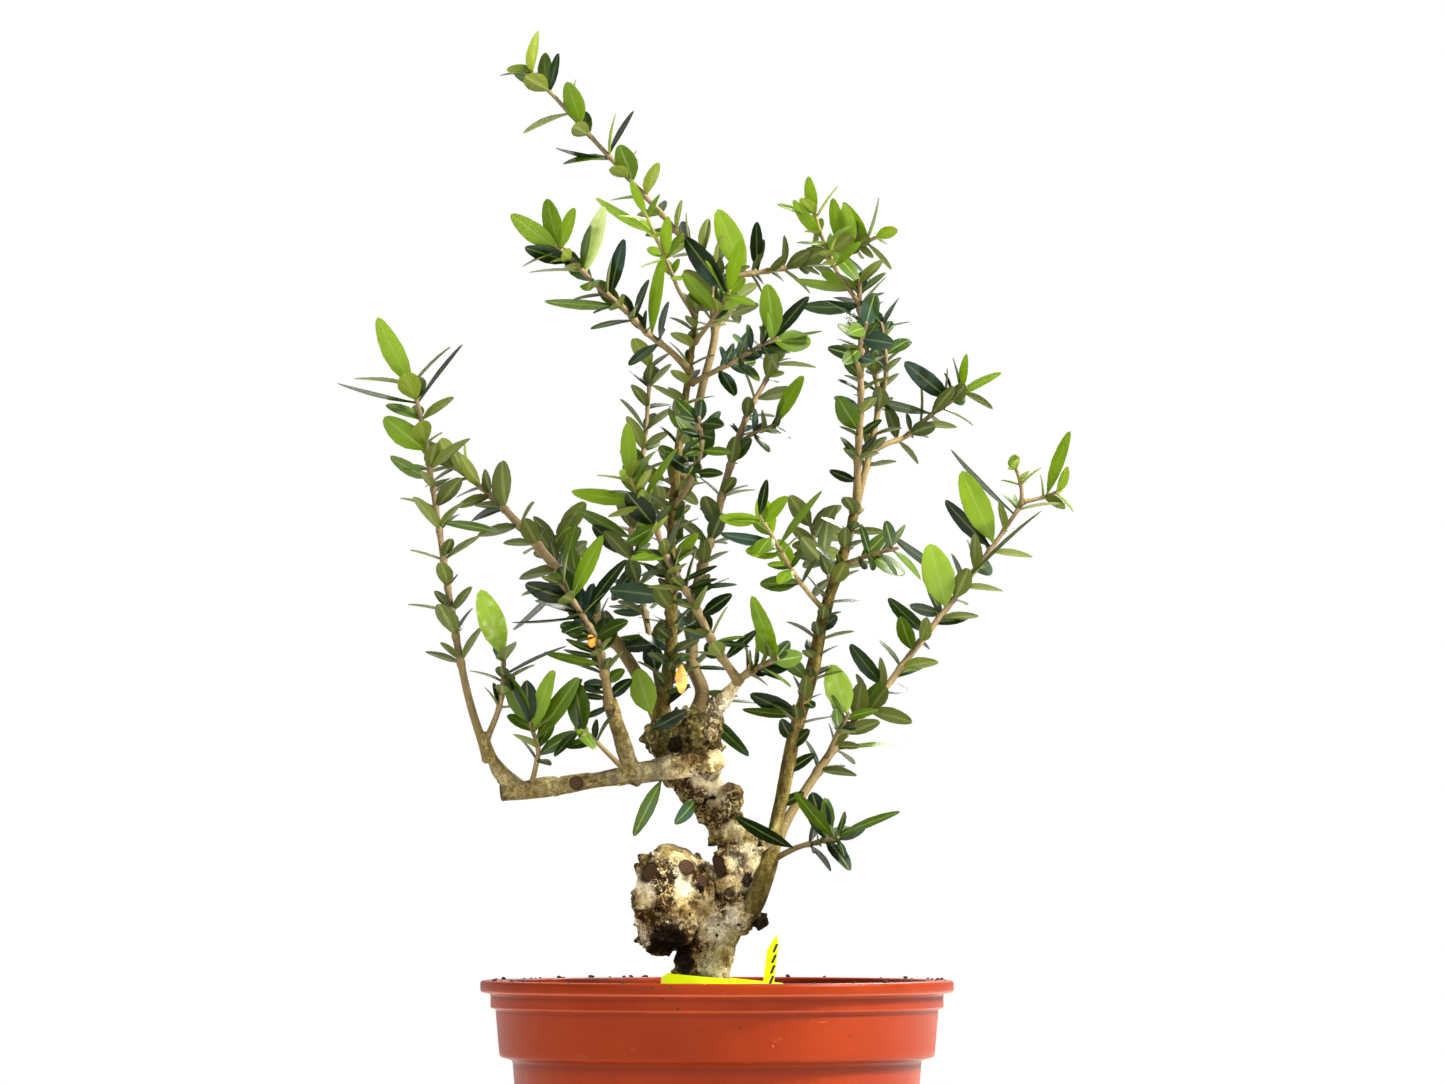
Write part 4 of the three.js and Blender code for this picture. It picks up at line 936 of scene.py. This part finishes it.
LUMPS = [
    dict(centre=(-19.7, -3, 182.6), half=(13.5, 13, 21.8)),
    dict(centre=(-13, -3, 186), half=(13.5, 11, 12.5)),
    dict(centre=(-22, -3, 169), half=(9, 10, 9)),
    dict(centre=(6, -4, 190), half=(8, 7.5, 9)),
    dict(centre=(8, -5, 177), half=(7, 7, 8.5)),
    dict(centre=(3, -6, 222), half=(6.5, 6, 7)),
    dict(centre=(-19, 0, 246), half=(9, 9.5, 10.5)),
    dict(centre=(-10, 1, 249), half=(7, 8, 8)),
    dict(centre=(-10.5, 3, 156), half=(6, 7, 16)),
]
# Sawn scars: centre on the wood, the way the cut faces, and its radius.
SCARS = [
    ((-26.8, -10.8, 193.2), (-0.6, -0.8, 0.2), 4.4),
    ((-12, -13, 195.5), (0.1, -0.9, 0.4), 3.4),
    ((-5.5, -13, 189.5), (0.2, -1, 0.1), 2.4),
    ((5, -12, 185), (0.3, -0.9, 0.2), 2),
    ((1, -10, 195.5), (-0.85, -0.5, -0.2), 5),
    ((20, -4, 170.5), (0.5, -0.3, -0.8), 4),
    ((-56, -18, 228.5), (0, -1, 0), 2.8),
    ((-86.5, -15, 224.5), (-1, -0.1, -0.1), 3.6),
    ((-42.5, -23.5, 257), (0.2, -1, 0.2), 2),
    ((4.5, -12, 228), (0.6, -0.7, 0.4), 3),
]
# Hollows: centre and radius. Each dents the wood a little and is painted dark as shade.
SHADED_HOLLOWS = [((-19.5, -13, 164.5), 8.8), ((19, -5, 172), 6), ((-4.5, -9, 244), 3), ((13, -10, 190), 4),
           ((-15, -2, 158), 7.8), ((-15, -2, 148), 6.5), ((-16.5, -9, 244), 3.4)]
# Places where the wood is bare and smooth: x, z and radius.
BARE = [(0, 156, 6), (-4.4, 178.6, 4), (0.7, 171, 4), (3.2, 163, 5), (5.8, 196.5, 3), (13.4, 201.6, 3.5),
        (-28, 185, 3), (-12, 185, 4), (-19.7, 201.6, 4)]
TRUNK_VOXEL = 0.00058


def ball(centre, half, rows=20, columns=32):
    """A closed ball stretched to its half sizes: circles of latitude between two poles."""
    polar = np.linspace(0, np.pi, rows + 2)[1:-1]
    angle = np.linspace(0, 2 * np.pi, columns, endpoint=False)
    ring = np.stack([np.sin(polar)[:, None] * np.cos(angle), np.sin(polar)[:, None] * np.sin(angle),
                     np.cos(polar)[:, None] * np.ones(columns)], axis=-1).reshape(-1, 3)
    points = np.vstack([[0, 0, 1], ring, [0, 0, -1]]) * half + centre
    return points, [face[::-1] for face in capped_faces(rows, columns)], np.zeros(len(points))


def fused(name, parts, voxel):
    """Points, normals and faces of several overlapping solids fused into one skin by a voxel remesh."""
    points, faces, _ = joined(parts)
    mesh = bpy.data.meshes.new(name)
    mesh.from_pydata(points.tolist(), [], faces)
    carrier = bpy.data.objects.new(name, mesh)
    bpy.context.scene.collection.objects.link(carrier)
    remesh = carrier.modifiers.new("skin", "REMESH")
    remesh.mode, remesh.voxel_size = "VOXEL", voxel
    soften = carrier.modifiers.new("soften", "SMOOTH")
    soften.factor, soften.iterations = 0.5, 8
    skin = carrier.evaluated_get(bpy.context.evaluated_depsgraph_get()).to_mesh()
    place, normal = np.empty(len(skin.vertices) * 3), np.empty(len(skin.vertices) * 3)
    skin.vertices.foreach_get("co", place)
    skin.vertices.foreach_get("normal", normal)
    quads = [tuple(face.vertices) for face in skin.polygons]
    bpy.data.objects.remove(carrier)
    return place.reshape(-1, 3), normal.reshape(-1, 3), quads


def weathered(place, normal):
    """Old bark relief: broad lumps, upright ridges, warts and pits, with flat sawn scars and hollows; the pits
    and hollows are also marked dark as painted shade.

    Each is smooth noise of its own size, pushed out along the surface. A scar pulls the wood to a plane
    with a raised lip, and is marked with its distance from the middle for its rings.
    """
    upright = place * np.array([1.0, 1.0, 0.45])
    broad = roughness_field(place, 0.010, 1)
    ridges = 1 - np.abs(roughness_field(upright + broad[:, None] * 0.002, 0.0035, 2)) * 2
    warts = np.clip(roughness_field(place, 0.0032, 3) - 0.25, 0, 1)
    pits = np.clip(roughness_field(place, 0.0021, 4) - 0.42, 0, 1) * 2.2
    grain = roughness_field(place, 0.0011, 5)
    in_front, left = (place[:, 1] < -0.0125) & (place[:, 2] > 0.2285), place[:, 0] < -0.034
    bough = in_front | left
    crust = np.clip(0.75 + 1.6 * roughness_field(place, 0.007, 11), 0, 1)
    for x, z, radius in metres(BARE):
        crust *= np.clip(np.hypot(place[:, 0] - x, place[:, 2] - z) / radius - 0.5, 0, 1)
    crust = np.where(bough, crust * (0.2 + 0.6 * (place[:, 0] > -0.018)), crust)
    push = broad * 0.0019 + (ridges * 0.0012 + warts * 0.0048 + grain * 0.0006) * crust - pits * 0.0016
    push = np.where(bough, push * 0.5, push)
    # Painted shade: the pits are marked dark, as shade in them, less so on the bough.
    hollow = np.clip(pits - warts, 0, 1) * 0.6 * np.where(bough, 0.5, 1)
    scar, ring = np.zeros(len(place)), np.zeros(len(place))
    moved = place + normal * push[:, None]
    for centre, way, radius in SCARS:
        way, radius = unit(np.array(way)), radius / 1000
        offset = moved - metres(centre)
        height = offset @ way
        reach = np.linalg.norm(offset - height[:, None] * way, axis=1) / radius
        facing = np.clip((normal @ way) * 2, 0, 1) * (np.abs(height) < 1.6 * radius)
        inside = np.clip((1.12 - reach) / 0.2, 0, 1) * facing
        lip = np.exp(-(((reach - 1.2) / 0.16) ** 2)) * facing
        moved -= way * (height * inside * 0.8)[:, None]
        moved += way * (lip * 0.0007 - inside * 0.0003)[:, None]
        scar = np.maximum(scar, inside)
        ring = np.where(inside > 0.05, reach, ring)
    # Each hollow dents the wood and is marked dark as painted shade.
    for centre, radius in SHADED_HOLLOWS:
        near = np.linalg.norm(place - metres(centre), axis=1) / (radius / 1000)
        shade = np.clip(1.25 - near, 0, 1)
        hollow = np.maximum(hollow, shade)
        moved -= normal * (shade * 0.0012)[:, None]
    crown = np.clip((place[:, 2] - 0.231) / 0.006, 0, 1) * ~bough
    ground = np.clip((0.160 - place[:, 2]) / 0.012, 0, 1) * 0.15
    end = np.clip((place[:, 0] + 0.022) / 0.008, 0, 1)
    age = np.where(bough, 0.15 + 0.75 * end, np.clip(1 - (place[:, 2] - 0.192) / 0.02, 0.3, 1))
    return moved, {"hollow": hollow, "scar": scar, "ring": ring, "crust": crust, "age": age,
                   "moss": np.maximum(crown, ground)}


def grow_wood():
    """The trunk with its level bough, then the two upright boughs, all in old bark."""
    bark = old_bark()
    solids = [tube(metres(limb["route"]), metres(limb["radii"]), 40, 24, 0.14, i)
              for i, limb in enumerate(TRUNK)]
    solids += [tube(metres(limb["route"]), metres(limb["radii"]), 60, 20, 0.10, 9 + i)
               for i, limb in enumerate(LEFT_BOUGH)]
    solids += [ball(metres(lump["centre"]), metres(lump["half"])) for lump in LUMPS]
    place, normal, faces = fused("trunk_core", solids, TRUNK_VOXEL)
    place, marks = weathered(place, normal)
    piece("old_trunk", place, faces, bark, "trunk", attributes=marks)
    for seed, (name, limb) in enumerate(BOUGHS.items()):
        route = metres(limb["route"])
        points, faces, level = tube(route, metres(limb["radii"]), 220, 28, 0.10, 20 + seed)
        normal = unit(points - curve(route, level)[0] + 1e-9)
        grain = roughness_field(points * np.array([1, 1, 0.3]), 0.0014, 7)
        knots = np.clip(roughness_field(points, 0.005, 8) - 0.35, 0, 1)
        points = points + normal * (grain * 0.00012 + knots * 0.0009)[:, None]
        zero = np.zeros(len(points))
        # Painted shade: the dips of the grain are marked dark, as shade in them.
        marks = {"hollow": np.clip(-grain - 0.3, 0, 1) * 0.5, "scar": zero, "ring": zero, "moss": zero,
                 "crust": zero, "age": zero}
        piece(name + "_wood", points, faces, bark, name, attributes=marks)


# --------------------------------------------------------------------------------------------------
# Pot, soil and label
# --------------------------------------------------------------------------------------------------

FOOT, WALL, BAND_LOW, BAND_HIGH, COLLAR = 0.073, 0.0816, 0.087, 0.0884, 0.0904
BAND_BOTTOM, COLLAR_BOTTOM, RIM_BOTTOM = 0.1208, 0.1385, 0.145
MOUTH, SHELL, FLOOR = 0.0844, 0.0024, 0.0052
DISC, FOOT_INNER, CHANNEL = 0.030, 0.066, 0.0025
DRAINS, DRAIN_RADIUS, DRAIN_RING = 8, 0.004, 0.048


def rounded(outline, radius, steps=4):
    """An outline of (x, z) points with each inner corner turned into an arc-like curve of about that radius.

    A corner becomes the quadratic curve between points set back along its two sides, by the radius or a third
    of the shorter side.
    """
    points = [np.array(p) for p in outline]
    shape = [points[0]]
    for before, corner, after in zip(points, points[1:], points[2:]):
        back, ahead = before - corner, after - corner
        set_back = min(radius, np.linalg.norm(back) / 3, np.linalg.norm(ahead) / 3)
        start, end = corner + unit(back) * set_back, corner + unit(ahead) * set_back
        for u in np.linspace(0, 1, steps):
            shape.append((1 - u) ** 2 * start + 2 * u * (1 - u) * corner + u * u * end)
    return np.array(shape + [points[-1]])


def turned(outline, columns, wobble=0.0):
    """A closed body: an outline of (radius, z) points carried round the vertical axis, closed at two poles.

    The radius varies round the axis by two and three waves, as moulded plastic that isn't quite round does.
    """
    angle = np.linspace(0, 2 * np.pi, columns, endpoint=False)
    inner = outline[1:-1]
    stretch = 1 + wobble * (np.sin(2 * angle + 0.6) + 0.5 * np.sin(3 * angle))
    ring = np.stack([inner[:, :1] * np.cos(angle) * stretch, inner[:, :1] * np.sin(angle) * stretch,
                     inner[:, 1:] * np.ones(columns)], axis=-1).reshape(-1, 3)
    points = np.vstack([[0, 0, outline[0][1]], ring, [0, 0, outline[-1][1]]])
    return points, capped_faces(len(inner), columns)


def mould_pot():
    """The pot, turned from its outline, with drainage holes drilled through the raised ring of its base."""
    outline = rounded([
        (0, 0), (DISC, 0), (DISC + 0.002, CHANNEL), (FOOT_INNER, CHANNEL), (FOOT_INNER + 0.002, 0), (FOOT, 0),
        (WALL, BAND_BOTTOM - 0.0025), (BAND_LOW - 0.0004, BAND_BOTTOM - 0.0012),
        (BAND_LOW, BAND_BOTTOM + 0.001), (BAND_HIGH, COLLAR_BOTTOM),
        (COLLAR, COLLAR_BOTTOM + 0.0006), (COLLAR, RIM_BOTTOM),
        (RIM, RIM_BOTTOM + 0.0002), (RIM, POT_TOP), (MOUTH + 0.0003, POT_TOP), (MOUTH, POT_TOP - 0.003),
        (BAND_LOW - SHELL - 0.0006, BAND_BOTTOM + 0.002), (WALL - SHELL, BAND_BOTTOM - 0.006),
        (FOOT - SHELL, FLOOR), (0, FLOOR)], 0.0014)
    points, faces = turned(outline, 240, 0.0004)
    pot = piece("nursery_pot", points, faces, pot_plastic(), "pot")
    drill = []
    for k in range(DRAINS):
        angle = 2 * np.pi * k / DRAINS
        x, y = DRAIN_RING * math.cos(angle), DRAIN_RING * math.sin(angle)
        drill.append(tube([(x, y, -0.01), (x, y, 0.02)], [DRAIN_RADIUS, DRAIN_RADIUS], 2, 24))
    points, faces, _ = joined(drill)
    mesh = bpy.data.meshes.new("drill")
    mesh.from_pydata(points.tolist(), [], faces)
    tool = bpy.data.objects.new("drill", mesh)
    bpy.context.scene.collection.objects.link(tool)
    cut = pot.modifiers.new("drains", "BOOLEAN")
    cut.operation, cut.solver, cut.object = "DIFFERENCE", "EXACT", tool
    drilled = bpy.data.meshes.new_from_object(pot.evaluated_get(bpy.context.evaluated_depsgraph_get()))
    pot.modifiers.clear()
    pot.data = drilled
    bpy.data.objects.remove(tool)
    pot.data.set_sharp_from_angle(angle=math.radians(40))


def fill_soil():
    """The soil: a turned body with a lumpy top that mounds up to the trunk."""
    wall = SHELL + 0.0003
    top = [(r, SOIL_TOP - 0.003 * min(r / 0.05, 1)) for r in np.linspace(0.082, 0.0, 42)]
    outline = np.array([(0, FLOOR + 0.0003), (FOOT - wall - 0.002, FLOOR + 0.0003),
                        (WALL - wall, BAND_BOTTOM - 0.006), (BAND_LOW - wall - 0.0006, BAND_BOTTOM + 0.002),
                        *top])
    points, faces = turned(outline, 150)
    loose = points[:, 2] > BAND_BOTTOM + 0.004
    lump = roughness_field(points, 0.009, 11) * 0.0011 + roughness_field(points, 0.0035, 12) * 0.0009
    points[loose, 2] += lump[loose] - 0.0006
    piece("soil_top", points, faces, potting_mix(), "potting_soil")


def crumb(centre, size, seed):
    """A small crumb: a ball of few faces, stretched and dented by noise."""
    points, faces, zeros = ball(0, 1, 3, 6)
    points *= (0.7 + 0.6 * scatter(np.arange(len(points)) + seed * 7.3))[:, None]
    return points * size * np.array([1.2, 0.9, 0.75]) + centre, faces, zeros


def scatter_crumbs():
    """Crumbs of soil: many on the soil, a few spilt along the rim."""
    mix = potting_mix()
    on_soil = []
    for n in range(420):
        radius, angle = 0.080 * math.sqrt(scatter(n + 0.11)), 2 * math.pi * float(scatter(n + 0.37))
        x, y = radius * math.cos(angle), radius * math.sin(angle)
        if abs(x) < 0.032 and -0.040 < y < -0.010:
            continue
        height = SOIL_TOP - 0.003 * min(radius / 0.05, 1)
        size = 0.0006 + 0.0014 * float(scatter(n + 0.53)) ** 2
        on_soil.append(crumb((x, y, height + size * 0.3), size, n))
    points, faces, _ = joined(on_soil)
    piece("soil_crumbs", points, faces, mix, smooth=False)
    on_rim = []
    for n in range(70):
        angle = 2 * math.pi * float(scatter(n + 0.21))
        radius = MOUTH + 0.002 + 0.006 * float(scatter(n + 0.43))
        if abs(math.cos(angle)) < 0.4 and math.sin(angle) < 0:
            continue
        size = 0.0003 + 0.0008 * float(scatter(n + 0.67)) ** 3
        x, y = radius * math.cos(angle), radius * math.sin(angle)
        on_rim.append(crumb((x, y, POT_TOP + size * 0.5), size, n + 500))
    points, faces, _ = joined(on_rim)
    piece("rim_crumbs", points, faces, mix, smooth=False)


STRAP_LOOP = (0.024, 0.017)
STRAP_CENTRE = np.array([0.002, -0.001, 0.147])
STRAP_HEIGHT, STRAP_THICKNESS, STRAP_SLOPE = 0.008, 0.0008, 0.09
TAB_FOOT = np.array([0.020, -0.0125, 0.145])
TAB_HEIGHT, TAB_WIDTH, TAB_THICKNESS, TAB_LEAN = 0.0235, 0.0043, 0.0009, 0.12


def make_label():
    """The label: a flat strap looped round the foot of the trunk, with a pointed tab and its plain ticks."""
    plastic, steps = label_plastic(), 96
    angle = np.linspace(0, 2 * np.pi, steps, endpoint=False)
    flat = np.zeros(steps)
    wide, deep = STRAP_LOOP
    centre = np.stack([wide * np.cos(angle), deep * np.sin(angle), flat], axis=-1)
    outward = unit(centre * np.array([1 / wide**2, 1 / deep**2, 1]))
    section = [(-0.5, -0.46), (-0.36, -0.5), (0.36, -0.5), (0.5, -0.46),
               (0.5, 0.46), (0.36, 0.5), (-0.36, 0.5), (-0.5, 0.46)]
    tall = STRAP_HEIGHT * (1 - 0.6 * np.clip((-np.cos(angle) - 0.86) / 0.14, 0, 1) ** 2)
    up = np.stack([flat, flat, tall], axis=-1)
    ring = np.stack([centre + outward * (x * STRAP_THICKNESS) + up * z for x, z in section], axis=1)
    ring[..., 2] -= ring[..., 0] * STRAP_SLOPE
    points = (ring + STRAP_CENTRE).reshape(-1, 3)
    corners = len(section)
    faces = [tuple(corner % (steps * corners) for corner in face)[::-1]
             for face in grid_faces(steps + 1, corners)]
    strap = piece("label_strap", points, faces, plastic, "plant_label")
    strap.data.set_sharp_from_angle(angle=math.radians(35))
    tab = [(-0.5, 0), (0.5, 0), (0.5, 0.82), (0.32, 0.97), (0.16, 1.0), (-0.5, 0.72)]
    plate("label_tab", tab, (0, 1), plastic)
    ink = label_ink()
    for k in range(4):
        low = 0.16 + 0.18 * k
        tick = [(0.0, low), (0.24, low), (0.48, low + 0.15), (0.24, low + 0.15)]
        plate("label_tick_%d" % k, tick, (-0.09, 0.02), ink)


def plate(name, outline, span, material):
    """A thin plate: an outline in shares of the tab's width and height, between two shares of its depth."""
    flat = np.array([(x * TAB_WIDTH, z * TAB_HEIGHT) for x, z in outline])
    lean = np.array([math.sin(TAB_LEAN), 0, math.cos(TAB_LEAN)])
    width = np.array([math.cos(TAB_LEAN), 0, -math.sin(TAB_LEAN)])
    face = TAB_FOOT + flat[:, :1] * width + flat[:, 1:] * lean
    layers = [face + np.array([0, share * TAB_THICKNESS, 0]) for share in span]
    points, count = np.vstack(layers), len(flat)
    faces = [tuple(range(count)), tuple(range(count, 2 * count))[::-1]]
    faces += [(k, k + count, (k + 1) % count + count, (k + 1) % count) for k in range(count)]
    piece(name, points, faces, material, smooth=False)


# --------------------------------------------------------------------------------------------------
# Studio
# --------------------------------------------------------------------------------------------------

CAMERA_DISTANCE = 3.0
CAMERA_ABOVE_RIM = 0.047
VIEW_CENTRE = np.array([0.0022, 0.0, POT_TOP + 0.1752])
VIEW_WIDTH = 0.578
SKY_FRONT, SKY_BACK = 0.08, 0.85
SENSOR = 36.0
FLOOR_RADIUS = 2.9


def set_camera():
    """A long lens from the front, a little above the rim, that takes in the view's width at the trunk."""
    camera = bpy.data.cameras.new("camera")
    camera.sensor_width, camera.lens = SENSOR, SENSOR * CAMERA_DISTANCE / VIEW_WIDTH
    camera.clip_end = 50
    holder = bpy.data.objects.new("camera", camera)
    bpy.context.scene.collection.objects.link(holder)
    rise = VIEW_CENTRE[2] - (POT_TOP + CAMERA_ABOVE_RIM)
    holder.location = (VIEW_CENTRE[0], -CAMERA_DISTANCE, VIEW_CENTRE[2] - rise)
    holder.rotation_euler = (math.pi / 2 + math.atan2(rise, CAMERA_DISTANCE), 0, 0)
    bpy.context.scene.camera = holder


def lamp(name, place, target, size, power, colour=(1, 1, 1)):
    """A square soft lamp that faces its target."""
    light = bpy.data.lights.new(name, "AREA")
    light.size, light.energy, light.color = size, power, colour
    holder = bpy.data.objects.new(name, light)
    bpy.context.scene.collection.objects.link(holder)
    way = unit(np.array(target, float) - np.array(place, float))
    holder.location = place
    pitch, turn = math.acos(-way[2]), math.atan2(-way[0], way[1])
    holder.rotation_euler = (pitch, 0, turn)


def set_studio():
    """A pale floor, a white surround and soft lamps: the main one high on the right, a little behind."""
    floor = bpy.data.meshes.new("floor")
    angle = np.linspace(0, 2 * np.pi, 96, endpoint=False)
    edge = np.stack([FLOOR_RADIUS * np.cos(angle), FLOOR_RADIUS * np.sin(angle), 0 * angle - 0.0002], axis=-1)
    floor.from_pydata(edge.tolist(), [], [tuple(range(96))])
    finish = Finish("studio_floor", Roughness=0.8)
    finish.feed(Base_Color=finish.blend(finish.noise(3, 2), (0.80, 0.80, 0.79), (0.84, 0.84, 0.83)))
    floor.materials.append(finish.material)
    made = bpy.data.objects.new("floor", floor)
    bpy.context.scene.collection.objects.link(made)
    world = bpy.data.worlds.new("surround")
    world.use_nodes = True
    nodes, links = world.node_tree.nodes, world.node_tree.links
    backdrop = nodes["Background"]
    backdrop.inputs["Color"].default_value = (1, 1, 1, 1)
    split, shade, seen = (nodes.new("ShaderNode" + kind) for kind in ("SeparateXYZ", "MapRange", "MapRange"))
    links.new(nodes.new("ShaderNodeTexCoord").outputs["Generated"], split.inputs[0])
    links.new(split.outputs["Y"], shade.inputs["Value"])
    shade.inputs["From Min"].default_value = -1.0
    shade.inputs["To Min"].default_value, shade.inputs["To Max"].default_value = SKY_FRONT, SKY_BACK
    links.new(nodes.new("ShaderNodeLightPath").outputs["Is Camera Ray"], seen.inputs["Value"])
    links.new(shade.outputs[0], seen.inputs["To Min"])
    links.new(seen.outputs[0], backdrop.inputs["Strength"])
    bpy.context.scene.world = world
    bpy.context.scene.view_settings.view_transform = "Standard"
    middle = (0, 0, 0.3)
    lamp("sun_side", (1.5, -0.5, 1.6), middle, 0.35, 150, (1.0, 0.97, 0.92))
    lamp("back_light", (0.5, 1.6, 1.6), middle, 0.5, 50, (1.0, 0.98, 0.94))
    lamp("fill_front", (-0.8, -1.6, 0.9), middle, 1.2, 20)


set_camera()
grow_wood()
grow_shoots()
mould_pot()
fill_soil()
scatter_crumbs()
make_label()
set_studio()
